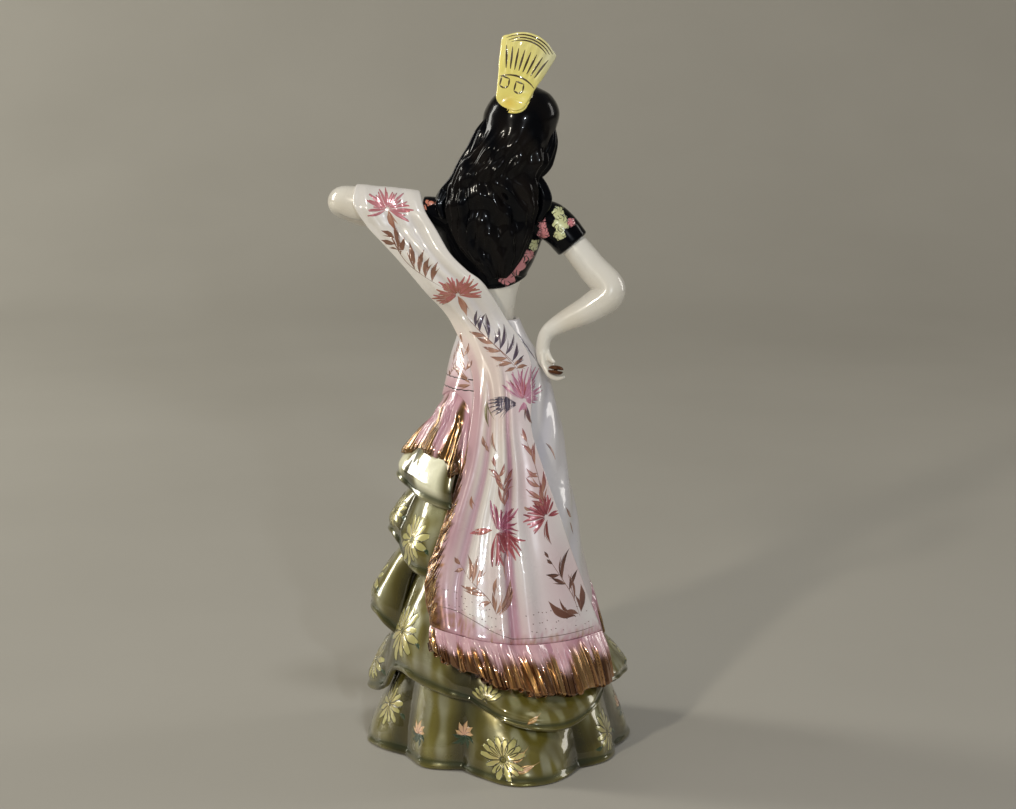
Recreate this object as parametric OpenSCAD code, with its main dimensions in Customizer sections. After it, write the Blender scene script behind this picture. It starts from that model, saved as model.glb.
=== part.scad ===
// Glazed earthenware figurine of a flamenco dancer, built up from slip-cast and hand-formed
// pieces that are luted together before firing. Millimetres, +Z up, origin on the tabletop at
// the centre of the foot. The dancer faces -Y, so her left arm points to +X.

/* [Foot and skirt] */
// Outer radius of the hollow skirt casting at the foot
foot_r = 58; // [54:1:60]
// Wall of the hollow castings
wall = 4; // [3:0.5:5]
// Radius of the vent hole in the skirt casting's floor
vent_r = 5; // [3:0.5:8]
// Distance of the vent hole from the centre of the foot, towards her back
vent_y = 22; // [14:1:30]
// Thickness of the flounces
flounce_t = 3; // [2:0.5:4]

/* [Shawl] */
// Thickness of the shawl
shawl_t = 2.2; // [1.8:0.2:3]
// Depth of the shawl's folds at its lower hem
fold_depth = 3.4; // [1:0.2:4]
// Depth of the combed ridges in the fringes
ridge = 0.9; // [0.4:0.1:1.2]

/* [Head and comb] */
// Sideways tilt of the head
head_tilt = 15; // [10:1:20]
// Height of the comb above its tang
comb_h = 37; // [32:1:42]
// Thickness of the comb
comb_t = 2.6; // [2:0.2:3.4]

/* [Joints between castings] */
// Radius of the spigot that holds each arm in its sleeve
arm_spigot_r = 4.5; // [3.5:0.5:5]
// Radius of the spigot that holds the neck in the torso
neck_spigot_r = 5; // [4:0.5:5.5]
// Radius of the spigot that holds the torso on the skirt casting
waist_spigot_r = 7; // [6:0.5:8]
// Slip gap between a spigot and its socket
slip = 0.15; // [0.1:0.05:0.3]

/* [Hidden] */

ring_n = 28;   // sides of a lofted body
tube_n = 12;   // sides of an arm
small_fn = 48; // facets of the round castings in a preview

olive = [0.42, 0.44, 0.24];
blush = [0.86, 0.76, 0.78];
gold = [0.55, 0.36, 0.16];
skin = [0.90, 0.87, 0.80];
black = [0.03, 0.03, 0.03];
yellow = [0.87, 0.82, 0.42];
brown = [0.25, 0.16, 0.09];

// Heights and radii of the skirt casting, from the foot to the waist: [z, radius].
core_profile = [[0, foot_r], [30, 51], [60, 44], [100, 36.5], [140, 29], [170, 23.4], [190, 19],
                [205, 14.5], [212, 11.5]];
waist_z = 212;
waist_x = 4;
socket_depth = 8;

// Lofted sections: [z, centre x, centre y, half width, half depth].
hip_sections = [[44, 0, 2, 53, 52], [60, 0, 2, 50, 49.5], [80, 0, 2, 47.5, 47], [97, 0, 2, 44, 43],
                [119, 0, 2, 41, 38.5], [136, 0, 2, 37.5, 34.5], [150, 0, 2, 34.5, 31.5],
                [166, 0, 2, 32, 28.5], [190, 0.5, 2, 26.5, 24], [204, 1.8, 1.5, 21.5, 19],
                [213, 3.2, 0.8, 17.4, 15.2], [222, 4.2, 0.2, 14.6, 12.6]];
torso_sections = [[212.3, 4, 0.5, 11.3, 9.8], [220, 4.3, 0, 12.2, 10.2], [227, 4.5, 0, 13, 10.6],
                  [238, 4.8, -0.5, 16, 12.5], [250, 4.6, -1.5, 22, 15.5],
                  [262, 4.2, -1.8, 26, 16], [272, 3.6, -0.5, 27, 13.8], [280, 2, 0.8, 24.5, 11],
                  [286, -1, 1.2, 15, 9], [291, -4, 1, 8.5, 8]];
hair_sections = [[244, 0, 15, 4, 2.6], [250, 1, 15.3, 11, 4], [260, 2.5, 15.6, 17.5, 5],
                 [272, 3.5, 15.4, 21.5, 6], [283, 2.5, 14.6, 22.5, 7.6], [292, 0, 13, 22, 9.5],
                 [300, -3.5, 9.6, 21.5, 13], [308, -6.5, 6, 20, 16.5], [317, -10.5, 2.5, 19, 18.5],
                 [325, -12, 1.8, 18.6, 18], [333, -12.5, 2, 13.5, 13], [337, -12.5, 2, 6, 6]];

// The head's cross-sections in its own tilted frame, from the chin up.
head_centre = [-11, -1, 316];
head_sections = [[-20.5, -6.8, 3, 3.2], [-17.5, -6, 6.4, 6.6], [-12, -3.8, 9.4, 10.6],
                 [-5, -1.6, 11.6, 13.4], [3, 0, 12.8, 15.2], [10, 1, 12.6, 15],
                 [15, 1.6, 10, 12.4], [18.5, 2, 4.4, 5.6]];
neck_path = [[-4, 1, 288, 7], [-6.2, 0.8, 296, 6.4], [-9, 0.4, 304, 7]];

// Limbs as [x, y, z, radius] along each centre line.
sleeve_right = [[-14, 0, 270, 9], [-24, 0.5, 270.5, 10], [-31, 1.5, 266, 9.6],
                [-37.5, 2.5, 258.5, 9.2]];
sleeve_left = [[18, 0, 268, 9], [27, 0.4, 272, 9], [33, 0.6, 274, 8], [38, 0.7, 274.8, 7.3]];
arm_right_path = [[-37.9, 2.7, 257.9, 6.8], [-41, 3.6, 254.4, 7], [-47.5, 6, 246.5, 6.8],
                  [-55.4, 9.5, 235.8, 7.3], [-46.5, 10.5, 227, 6.4], [-34, 10, 220.2, 4.9],
                  [-25.2, 9.6, 214.6, 3.8], [-22.6, 9.8, 207.5, 3.6], [-23.8, 10.5, 200, 4.4],
                  [-27.5, 12, 195.2, 3.6], [-30.6, 13.2, 193.6, 1.6]];
arm_left_path = [[38.4, 0.7, 274.9, 6.2], [48, 0.5, 276.4, 6.3], [62, 0.4, 277.4, 6.5],
                 [75.6, -1.5, 279.2, 7.8], [78.4, -9.5, 277.4, 7.6], [71, -22, 272.6, 6.6], [60, -34, 268.4, 5],
                 [53, -42, 266.5, 3.8], [49, -48, 266, 4.4], [45.5, -54, 267.5, 3.6],
                 [44, -57, 268.5, 1.6]];
lock_left_path = [[4, 8, 322, 1.5], [8, 10, 313, 3.6], [13, 10, 302, 4.2], [18.5, 9.5, 292, 4.4],
                  [25, 7, 284.5, 4.2], [28.5, 9, 279, 3.4], [27.5, 12, 273, 1.6]];
lock_right_path = [[-27, 6, 318, 1.5], [-26, 8.5, 309, 3.4], [-23, 9.5, 300, 4.2],
                   [-20.5, 9.5, 292, 3.8], [-22.5, 9, 286, 4.2], [-24.5, 8.5, 280, 3.4],
                   [-23, 10, 274.5, 1.5]];

// Flounces: heights of the upper edge and of the hem, and radius of the hem in its folds, each
// given at her left, back, right and front or as [angle, value] rows; then the folds, as [angle
// from her left towards her back, bulge of the lobe that follows]. A flounce runs from its first
// fold to its last. The tiers are staggered: their hems drop from her left towards her back.
flounces = [
  [[172, 166, 146, 130],
   [[-104, 104], [-62, 116], [-20, 138], [6, 141.5], [26, 135], [60, 130]],
   [47, 42.5, 46, 47], [[-104, 5], [-62, 6], [-20, 5.5], [20, 4], [60, 0]]],
  [[148, 138, 124, 112],
   [[-140, 83], [-98, 79], [-58, 89.5], [-20, 107], [6, 111], [22, 101], [40, 96.5], [60, 95]],
   [51, 48, 49, 52], [[-140, 6], [-98, 6], [-58, 6], [-20, 6.5], [16, 5], [60, 0]]],
  [[116, 100, 98, 86], [70, 58, 58, 48],
   [[-162, 50], [-122, 52.5], [-80, 56.5], [-34, 60], [0, 60], [16, 53]],
   [[-162, 5], [-122, 7], [-80, 7], [-34, 7], [16, 0]]],
  [[[-20, 70], [14, 71], [27, 98], [55, 93], [80, 64], [110, 50], [150, 52], [180, 60],
    [225, 56], [270, 52], [340, 70]],
   [[-20, 29], [14, 28], [27, 43], [50, 41], [79, 34], [92, 30], [105, 28], [118, 28],
    [140, 33], [153, 36], [180, 37], [225, 32], [270, 26], [340, 29]],
   [[-20, 63], [0, 64], [18, 60], [30, 57], [60, 57], [79, 58], [100, 59], [140, 61],
    [180, 62], [340, 63]],
   [[-20, 5], [16, 3], [76, 17], [150, 6], [204, 7], [248, 7], [292, 7], [340, 0]]],
  [[[-34, 37], [12, 37], [26, 54], [50, 51], [80, 42], [110, 36], [150, 42], [180, 43],
    [226, 38], [270, 33], [326, 37]],
   [0, 0, 0, 0],
   [[-34, 61], [36, 57], [72, 57.5], [90, 58], [125, 65], [140, 64], [158, 63], [178, 62],
    [226, 60], [276, 61], [326, 61]],
   [[-34, 10], [36, 5], [72, 19], [128, 4], [160, 7], [226, 9], [276, 9], [326, 0]]]];

// The shawl's three guide lines, row by row from the lap in front of her arm, over the arm and
// down her back to the hem: [left edge, spine, right edge].
shawl_rows = [
  [[58, -11.5, 266], [49, -12.5, 263], [40, -12, 261]],
  [[67, -10.6, 278], [53, -10.6, 276.5], [39.5, -10.6, 275.5]],
  [[71, 0, 288.4], [55, 0, 286.8], [39, 0.5, 285]],
  [[72, 10.4, 279], [54, 10.8, 277.5], [36, 11.4, 276]],
  [[66, 11, 268.5], [48, 13, 267], [30, 16, 266]],
  [[58, 12, 259.5], [41, 17, 258], [23.5, 20.5, 255.5]],
  [[47.5, 14, 248], [32, 20, 248], [16, 22, 248]],
  [[37.5, 15, 236], [22.5, 21, 238.5], [7, 21.5, 240.5]],
  [[28, 11.5, 225.5], [13, 16.5, 225], [-3.5, 14.5, 223.5]],
  [[22, 13, 216], [6, 18.4, 214.5], [-11, 15, 213]],
  [[15.5, 20.5, 203.5], [1, 24.8, 202.6], [-16.5, 19, 202.8]],
  [[12.5, 27, 187.6], [-2, 30, 186.6], [-17.5, 25, 186.5]],
  [[14.5, 31.5, 167.5], [-3, 34.5, 167.4], [-17, 30.5, 169.4]],
  [[19, 35, 148.5], [-4, 39.5, 147.5], [-22, 33.5, 152.4]],
  [[27.5, 40, 123.5], [-3, 46, 121.5], [-29.5, 35.5, 131.5]],
  [[36.5, 44.5, 94.8], [-5, 54, 95.7], [-40, 34.5, 100.5]],
  [[34, 51, 74], [-9, 62.5, 67], [-53, 33, 66]]];
fringe_edge = [[34.5, 56, 61.5], [-18, 71.5, 44], [-60, 35, 41.5]];
// The hip wrap's lower hem, as [angle from her left, height], and the length of its fringe.
wrap_top = 221;
wrap_hem = [[-206, 66], [-180, 80], [-135, 108], [-90, 140], [-45, 168], [0, 181], [60, 178],
            [74, 130], [94, 74], [154, 66]];
wrap_fringe = [[-206, 22], [-90, 28], [0, 28], [70, 32]];

// The comb stands on the back of her head and leans with it.
comb_foot = [-5.2, 17.2, 327.5];
comb_lean = 19.6;
comb_bend_r = 30;
comb_tang = 6;

// ---- Curves -----------------------------------------------------------------------------

function clamp01(t) = min(1, max(0, t));
function row_at(t, x, i = 0) = (i >= len(t) - 2 || x < t[i + 1][0]) ? i : row_at(t, x, i + 1);
function slope(t, i) = let (a = max(i - 1, 0), b = min(i + 1, len(t) - 1))
  (t[b] - t[a]) / (t[b][0] - t[a][0]);

// A smooth curve through the rows of a table, read at x in its first column.
function along(t, x) =
  let (i = row_at(t, x), h = t[i + 1][0] - t[i][0], s = clamp01((x - t[i][0]) / h))
  t[i] * (2 * s^3 - 3 * s^2 + 1) + slope(t, i) * h * (s^3 - 2 * s^2 + s)
  + t[i + 1] * (3 * s^2 - 2 * s^3) + slope(t, i + 1) * h * (s^3 - s^2);

function numbered(list) = [for (i = [0:len(list) - 1]) concat([i], list[i])];
function unit(v) = v / norm(v);
function tail(v) = [v[1], v[2], v[3]];

// A value that is given at her left, back, right and front, at an angle between them.
function around(v, a) =
  (v[0] + v[1] + v[2] + v[3]) / 4 + (v[0] - v[2]) / 2 * cos(a) + (v[1] - v[3]) / 2 * sin(a)
  + (v[0] - v[1] + v[2] - v[3]) / 4 * cos(2 * a);

// A value given as [angle, value] rows, or at four sides.
function level(v, a) = is_list(v[0]) ? along(v, a)[1] : around(v, a);

// Round lobes with narrow folds between them: how far a hem bulges at angle a.
function bulge(folds, a, i = 0) = (i >= len(folds) - 2 || a < folds[i + 1][0])
  ? folds[i][1] * sqrt(sin(180 * clamp01((a - folds[i][0]) / (folds[i + 1][0] - folds[i][0]))))
  : bulge(folds, a, i + 1);

// ---- Solids -----------------------------------------------------------------------------

function quad(a, b, c, d) = [[a, b, c], [a, c, d]];

// A closed body through rings of points, from the lowest ring up.
module loft(rings) {
  n = len(rings[0]);
  m = len(rings);
  faces = [
    for (r = [0:m - 2], c = [0:n - 1])
      each quad(r * n + c, (r + 1) * n + c, (r + 1) * n + (c + 1) % n, r * n + (c + 1) % n)];
  base = [for (c = [0:n - 1]) c];
  lid = [for (c = [n - 1:-1:0]) (m - 1) * n + c];
  polyhedron([for (r = rings) each r], concat(faces, [base], [lid]));
}

// A thick sheet between two grids of points, rows going up and columns going round from her left
// towards her back. A closed one runs all the way round.
module sheet(outer, inner, closed = false) {
  rows = len(outer);
  cols = len(outer[0]);
  last = closed ? cols - 1 : cols - 2;
  k = rows * cols;
  function at(r, c, side) = side * k + r * cols + c % cols;
  skins = [
    for (r = [0:rows - 2], c = [0:last])
      each concat(
        quad(at(r, c, 0), at(r + 1, c, 0), at(r + 1, c + 1, 0), at(r, c + 1, 0)),
        quad(at(r, c, 1), at(r, c + 1, 1), at(r + 1, c + 1, 1), at(r + 1, c, 1)))];
  rims = [
    for (c = [0:last])
      each concat(
        quad(at(0, c, 0), at(0, c + 1, 0), at(0, c + 1, 1), at(0, c, 1)),
        quad(at(rows - 1, c, 0), at(rows - 1, c, 1), at(rows - 1, c + 1, 1),
             at(rows - 1, c + 1, 0)))];
  ends = closed ? [] : [
    for (r = [0:rows - 2])
      each concat(
        quad(at(r, 0, 0), at(r, 0, 1), at(r + 1, 0, 1), at(r + 1, 0, 0)),
        quad(at(r, cols - 1, 0), at(r + 1, cols - 1, 0), at(r + 1, cols - 1, 1),
             at(r, cols - 1, 1)))];
  polyhedron(concat([for (r = outer) each r], [for (r = inner) each r]),
             concat(skins, rims, ends));
}

// The points of an oval ring of a lofted section, read at height z.
function oval(sections, z, n, grow = 0) =
  let (s = along(sections, z))
  [for (i = [0:n - 1])
     [s[1] + (s[3] + grow) * cos(360 * i / n), s[2] + (s[4] + grow) * sin(360 * i / n), z]];

// A round limb along a path of [x, y, z, radius]. The reference direction must not lie along it.
module limb(path, steps, n, reference = [0.2, 1, 0.1]) {
  p = [for (k = [0:steps]) along(numbered(path), k * (len(path) - 1) / steps)];
  rings = [
    for (k = [0:steps])
      let (t = unit(tail(p[min(k + 1, steps)]) - tail(p[max(k - 1, 0)])),
           u = unit(cross(t, reference)), w = cross(t, u))
      [for (i = [0:n - 1]) tail(p[k]) + p[k][4] * (u * cos(360 * i / n) + w * sin(360 * i / n))]];
  loft(rings);
}

// A cylinder from one point towards another.
module rod(from, to, r) {
  d = to - from;
  translate(from) rotate([0, acos(d[2] / norm(d)), atan2(d[1], d[0])])
    cylinder(h = norm(d), r = r, $fn = small_fn);
}

// ---- Skirt ------------------------------------------------------------------------------

module core_outline(grow) {
  polygon(concat(
    [[0, 0]],
    [for (p = core_profile) [p[1] + grow, p[0]]],
    [[0, waist_z]]));
}

module skirt_core() {
  cavity = [for (p = core_profile) if (p[0] > 0 && p[0] < 205) [p[1] - wall, p[0]]];
  color(blush) difference() {
    rotate_extrude($fn = 2 * small_fn) core_outline(0);
    rotate_extrude($fn = 2 * small_fn)
      polygon(concat([[0, wall], [foot_r - wall - 2, wall]], cavity, [[0, 190]]));
    translate([0, vent_y, -1]) cylinder(h = wall + 2, r = vent_r, $fn = small_fn);
    translate([waist_x, 0, waist_z - socket_depth])
      cylinder(h = socket_depth + 1, r = waist_spigot_r + slip, $fn = small_fn);
    translate([waist_x, 0, 186]) cylinder(h = 30, r = waist_spigot_r - 3, $fn = small_fn);
  }
}

function core_r(z) = lookup(z, core_profile);

// Radius of a flounce's outer face at angle a and height z.
function flounce_r(f, a, z) =
  let (top = level(f[0], a), hem = level(f[1], a), s = clamp01((top - z) / (top - hem)),
       start = core_r(top) + flounce_t + 0.3,
       spread = 1 - (1 - s)^1.25)
  start + (level(f[2], a) - start) * spread + bulge(f[3], a) * s^1.2;

module flounce(f, cols, rows = 5) {
  first = f[3][0][0];
  turn = f[3][len(f[3]) - 1][0] - first;
  last = turn == 360 ? cols - 1 : cols;
  function grid(inset) = [
    for (k = [rows:-1:0]) [
      for (c = [0:last])
        let (a = first + turn * c / cols, top = level(f[0], a), hem = level(f[1], a),
             z = top + (hem - top) * k / rows, r = flounce_r(f, a, z) - inset)
        [r * cos(a), r * sin(a), z]]];
  color(olive) sheet(grid(0), grid(flounce_t), turn == 360);
}

module flounce_1() { flounce(flounces[0], 40); }
module flounce_2() { flounce(flounces[1], 44); }
module flounce_3() { flounce(flounces[2], 48); }
module flounce_4() { flounce(flounces[3], 72); }
module flounce_5() { flounce(flounces[4], 70); }

// ---- Body -------------------------------------------------------------------------------

// Her torso: black bodice above, bare waist below.
module torso_body() {
  levels = [212.3, 220, 227, 233, 239, 245, 251, 257, 263, 269, 275, 280, 285, 291];
  loft([for (z = levels) oval(torso_sections, z, ring_n)]);
}

module torso() {
  color(black) difference() {
    union() {
      torso_body();
      limb(sleeve_right, 6, 16);
      limb(sleeve_left, 6, 16);
      translate([waist_x, 0, waist_z - socket_depth + 1])
        cylinder(h = socket_depth + 4, r = waist_spigot_r, $fn = small_fn);
    }
    loft([for (z = [224, 232, 241, 250, 260, 270]) oval(torso_sections, z, 16, -wall)]);
    translate([waist_x, 0, 200]) cylinder(h = 26, r = waist_spigot_r - 3, $fn = small_fn);
    rod([-4, 1, 284], [-4, 1, 292], neck_spigot_r + slip);
    limb(neck_path, 4, 16);
    rod([-28, 1.2, 268.5], [-38.6, 3, 257], arm_spigot_r + slip);
    rod([28.8, 0.5, 272.9], [39, 0.7, 275.1], arm_spigot_r + slip);
  }
}

module head_body(grow = 0) {
  translate(head_centre) rotate([0, -head_tilt, 0])
    loft([for (z = [-20.5, -18.5, -16, -12, -7, -2, 3, 8, 12, 15, 17.3, 18.5])
            let (s = along(head_sections, z))
            [for (i = [0:ring_n - 1])
               [(s[2] + grow) * cos(360 * i / ring_n), s[1] + (s[3] + grow) * sin(360 * i / ring_n),
                z + grow * z / 20]]]);
}

// The nose, as a small four-sided wedge from the brow to the tip.
module nose() {
  translate(head_centre) rotate([0, -head_tilt, 0])
    polyhedron([[0, -13.4, 4], [-2.6, -13, -6.4], [2.6, -13, -6.4], [0, -18.4, -5.2]],
               [[0, 3, 1], [0, 2, 3], [1, 3, 2], [0, 1, 2]]);
}

module head() {
  color(skin) {
    head_body();
    nose();
    limb(neck_path, 4, 16);
    translate([-4, 1, 285]) cylinder(h = 6, r = neck_spigot_r, $fn = small_fn);
  }
}

// The opening that leaves the face free.
module face_window() {
  translate(head_centre + [0, -6, -4]) rotate([90, -head_tilt, 0])
    linear_extrude(height = 30) scale([0.8, 1.25]) circle(r = 12.5, $fn = small_fn);
}

module hair_body() {
  levels = [244, 248, 253, 260, 268, 276, 284, 292, 300, 307, 313, 319, 325, 330, 334, 337];
  loft([for (z = levels) oval(hair_sections, z, ring_n)]);
}

module hair() {
  color(black) difference() {
    hair_body();
    head_body(0.1);
    torso_body();
    face_window();
    comb_body(0.1);
    limb(neck_path, 4, 16);
  }
}

// A lock laid on the mass of the hair.
module lock(path) {
  color(black) difference() {
    limb(path, 12, tube_n);
    hair_body();
    torso_body();
    limb(sleeve_left, 6, 16);
  }
}

module hair_lock_left() { lock(lock_left_path); }
module hair_lock_right() { lock(lock_right_path); }

module comb_outline(grow) {
  offset(delta = grow) intersection() {
    translate([0, 18.4]) circle(r = comb_h - 18.4, $fn = 2 * small_fn);
    polygon([[-5, -0.5], [5, -0.5], [7.8, 3.5], [14.4, 29], [14.4, comb_h], [-14.4, comb_h],
             [-14.4, 29], [-7.8, 3.5]]);
  }
  translate([-3.5 - grow, -comb_tang - grow]) square([7 + 2 * grow, comb_tang + 4]);
}

// The comb is a slice of a tube, so that it follows the back of the head.
module comb_body(grow = 0) {
  translate(comb_foot) rotate([0, -comb_lean, 0]) intersection() {
    rotate([90, 0, 0]) linear_extrude(height = 16, center = true) comb_outline(grow);
    translate([0, -comb_bend_r, -10]) difference() {
      cylinder(h = comb_h + 20, r = comb_bend_r + grow, $fn = 2 * small_fn);
      translate([0, 0, -1])
        cylinder(h = comb_h + 22, r = comb_bend_r - comb_t - grow, $fn = 2 * small_fn);
    }
  }
}

module comb() { color(yellow) comb_body(); }

module arm_right_limb() { limb(arm_right_path, 24, tube_n); }
module arm_left_limb() { limb(arm_left_path, 24, tube_n, [0.1, 0.2, 1]); }

module arm_right() {
  color(skin) {
    arm_right_limb();
    rod([-29.5, 1.4, 267], [-39.5, 3.2, 256.4], arm_spigot_r);
  }
}

module arm_left() {
  color(skin) {
    arm_left_limb();
    rod([30, 0.5, 273.2], [41, 0.7, 275.4], arm_spigot_r);
  }
}

// Two turned shells face to face.
module castanet() {
  rotate_extrude($fn = small_fn)
    polygon([[0, -2.4], [3, -1.9], [3.9, -0.9], [3.9, -0.25], [2.6, -0.25], [2.6, 0.25],
             [3.9, 0.25], [3.9, 0.9], [3, 1.9], [0, 2.4]]);
}

module castanet_right() {
  color(brown) difference() {
    translate([-28.9, 18.4, 196.6]) rotate([10, -8, 0]) castanet();
    arm_right_limb();
  }
}

module castanet_left() {
  color(brown) difference() {
    translate([42.5, -60.4, 264.6]) rotate([40, 20, 30]) castanet();
    arm_left_limb();
  }
}

// ---- Shawl ------------------------------------------------------------------------------

// Three columns of the guide lines, each as a table of [row, x, y, z].
function guide(side) = numbered([for (r = shawl_rows) r[side]]);

// The point at u across (0 left, 1 right) between the guide lines.
function across(l, m, r, u) =
  l * (1 - u) * (1 - 2 * u) + m * 4 * u * (1 - u) + r * u * (2 * u - 1);

// How far the cloth stands out in its folds, at u across and v down (0 waist, 1 hem).
function fold(u, v) =
  fold_depth * v * (0.55 * cos(360 * (2.6 * u - 0.1)) + 0.3 * sin(360 * (4.3 * u + 0.2)));

function spine(u, t) =
  across(tail(along(guide(0), t)), tail(along(guide(1), t)), tail(along(guide(2), t)), u);

function shawl_point(u, t, lift) =
  let (e = 0.02, last = len(shawl_rows) - 1,
       du = spine(min(u + e, 1), t) - spine(max(u - e, 0), t),
       dv = spine(u, min(t + e, last)) - spine(u, max(t - e, 0)))
  spine(u, t) + unit(cross(dv, du)) * (lift + fold(u, clamp01((t - 9) / 7)));

module shawl() {
  rows = 36;
  cols = 20;
  function grid(lift) = [
    for (k = [rows:-1:0]) [
      for (c = [0:cols]) shawl_point(c / cols, (len(shawl_rows) - 1) * k / rows, lift)]];
  color(blush) sheet(grid(0), grid(-shawl_t));
}

function hip_point(a, z, grow) =
  let (s = along(hip_sections, z))
  [s[1] + (s[3] + grow) * cos(a), s[2] + (s[4] + grow) * sin(a), z];

// The wrap lies on the skirt casting and, at the waist, on the torso.
function under_wrap(a, z) = z < waist_z
  ? [core_r(z) * cos(a), core_r(z) * sin(a), z] + 0.3 * [cos(a), sin(a), 0]
  : let (s = along(torso_sections, max(z, 213)))
    [s[1] + (s[3] + 0.3) * cos(a), s[2] + (s[4] + 0.3) * sin(a), z];

function wrap_hem_z(a) = along(wrap_hem, a)[1];

module shawl_wrap() {
  cols = 48;
  rows = 10;
  function level(a, k) = wrap_hem_z(a) + (wrap_top - wrap_hem_z(a)) * k / rows;
  function angle(c) = -206 + 360 * c / cols;
  color(blush) sheet(
    [for (k = [0:rows]) [for (c = [0:cols - 1]) hip_point(angle(c), level(angle(c), k), 0)]],
    [for (k = [0:rows]) [for (c = [0:cols - 1]) under_wrap(angle(c), level(angle(c), k))]], true);
}

// ---- Fringes ----------------------------------------------------------------------------

function fringe_back_point(u, s, inset) =
  let (top = shawl_point(u, len(shawl_rows) - 1, 0.2),
       low = across(fringe_edge[0], fringe_edge[1], fringe_edge[2], u),
       groove = ridge * (0.5 + 0.5 * cos(360 * 15 * u)) * s,
       out = unit([low[0], low[1], 18]))
  top + (low - top) * s + out * (groove - inset);

module fringe_back() {
  cols = 90;
  rows = 3;
  function grid(inset) = [
    for (k = [rows:-1:0]) [for (c = [0:cols]) fringe_back_point(c / cols, k / rows, inset)]];
  color(gold) sheet(grid(0), grid(shawl_t + 0.8));
}

// Radius that the wrap's fringe has to clear: that of the flounce below it, if there is one.
function covered_r(f, a, z) =
  a > f[3][0][0] && a < f[3][len(f[3]) - 1][0] && z < level(f[0], a) && z > level(f[1], a)
  ? flounce_r(f, a, z) : 0;

function fringe_wrap_point(a, s, inset) =
  let (z = wrap_hem_z(a) - along(wrap_fringe, a)[1] * s,
       hang = hip_point(a, z, 0.4 + 3.8 * s), r0 = norm([hang[0], hang[1]]),
       b = atan2(hang[1], hang[0]), turned = b > a + 180 ? b - 360 : b,
       r1 = max([for (f = flounces) covered_r(f, turned, z)]) + shawl_t + 1.2,
       r = max(r0, r1) + ridge * (0.5 + 0.5 * cos(36 * a)) * s - inset)
  [r * hang[0] / r0, r * hang[1] / r0, z];

module fringe_wrap() {
  start = -206;
  stop = 66;
  cols = 96;
  rows = 4;
  function grid(inset) = [
    for (k = [rows:-1:0]) [
      for (c = [0:cols]) fringe_wrap_point(start + (stop - start) * c / cols, k / rows, inset)]];
  color(gold) sheet(grid(0), grid(shawl_t + 0.4));
}

skirt_core();
flounce_1();
flounce_2();
flounce_3();
flounce_4();
flounce_5();
torso();
head();
hair();
hair_lock_left();
hair_lock_right();
comb();
arm_left();
arm_right();
castanet_left();
castanet_right();
shawl();
shawl_wrap();
fringe_back();
fringe_wrap();
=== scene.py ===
import math

import bpy
import numpy as np
from mathutils import Euler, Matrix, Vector
from mathutils.bvhtree import BVHTree


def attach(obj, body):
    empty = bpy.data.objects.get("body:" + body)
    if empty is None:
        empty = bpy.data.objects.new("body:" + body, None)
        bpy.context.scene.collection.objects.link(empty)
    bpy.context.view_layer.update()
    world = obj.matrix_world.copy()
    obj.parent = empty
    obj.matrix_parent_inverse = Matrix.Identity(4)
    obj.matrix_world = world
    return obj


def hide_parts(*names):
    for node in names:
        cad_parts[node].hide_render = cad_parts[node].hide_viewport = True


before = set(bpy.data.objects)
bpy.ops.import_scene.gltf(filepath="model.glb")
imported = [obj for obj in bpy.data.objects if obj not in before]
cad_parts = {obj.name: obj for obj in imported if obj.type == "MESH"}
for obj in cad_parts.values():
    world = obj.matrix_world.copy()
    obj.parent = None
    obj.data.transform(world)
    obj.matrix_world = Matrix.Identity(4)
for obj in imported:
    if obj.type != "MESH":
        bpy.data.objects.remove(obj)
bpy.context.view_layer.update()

# All shapes are worked out in millimetres and turned into metres when a mesh is made.
MM = 0.001
rng = np.random.default_rng(7)


# ---- Colours

def srgb(r, g, b):
    """A colour given as 0 to 255 screen values, as linear light."""
    c = np.array([r, g, b], float) / 255
    return np.where(c <= 0.04045, c / 12.92, ((c + 0.055) / 1.055) ** 2.4)


WHITE = srgb(246, 240, 232)
LAVENDER = srgb(216, 214, 230)
BLUSH = srgb(228, 186, 192)
MAUVE = srgb(190, 134, 152)
IVORY = srgb(242, 238, 228)
BLACK = srgb(4, 5, 9)
OLIVE = srgb(124, 115, 50)
OLIVE_DARK = srgb(52, 50, 18)
OLIVE_LIGHT = srgb(200, 200, 152)
GOLD = srgb(168, 116, 58)
GOLD_LIGHT = srgb(226, 188, 128)
BROWN = srgb(92, 54, 34)
BROWN_GREY = srgb(116, 92, 84)
YELLOW = srgb(254, 240, 132)


def mix(a, b, t):
    """Blend of two colours, or arrays of colours, by t."""
    t = np.clip(np.asarray(t, float), 0, 1)[..., None]
    return np.asarray(a) * (1 - t) + np.asarray(b) * t


def lustred(colour, weight):
    """A colour with its lustre weight as a fourth channel."""
    return np.concatenate([colour, np.asarray(weight)[..., None]], -1)


def step(lo, hi, x):
    """0 below lo, 1 above hi, smooth between."""
    s = np.clip((np.asarray(x, float) - lo) / (hi - lo), 0, 1)
    return s * s * (3 - 2 * s)


def bump(x, centre, width):
    """A bell of height 1."""
    return np.exp(-(((np.asarray(x, float) - centre) / width) ** 2))


# ---- Curves and noise

def along(table, x):
    """A smooth curve through the rows of a table, read at x in its first column."""
    t = np.asarray(table, float)
    x = np.asarray(x, float)
    n = len(t)
    lo = np.maximum(np.arange(n) - 1, 0)
    hi = np.minimum(np.arange(n) + 1, n - 1)
    slope = (t[hi] - t[lo]) / (t[hi, 0] - t[lo, 0])[:, None]
    i = np.clip(np.searchsorted(t[:, 0], x, side="right") - 1, 0, n - 2)
    h = (t[i + 1, 0] - t[i, 0])[..., None]
    s = np.clip((x - t[i, 0])[..., None] / h, 0, 1)
    out = (
        t[i] * (2 * s**3 - 3 * s**2 + 1)
        + slope[i] * h * (s**3 - 2 * s**2 + s)
        + t[i + 1] * (3 * s**2 - 2 * s**3)
        + slope[i + 1] * h * (s**3 - s**2)
    )
    return out[..., 1:]


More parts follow.
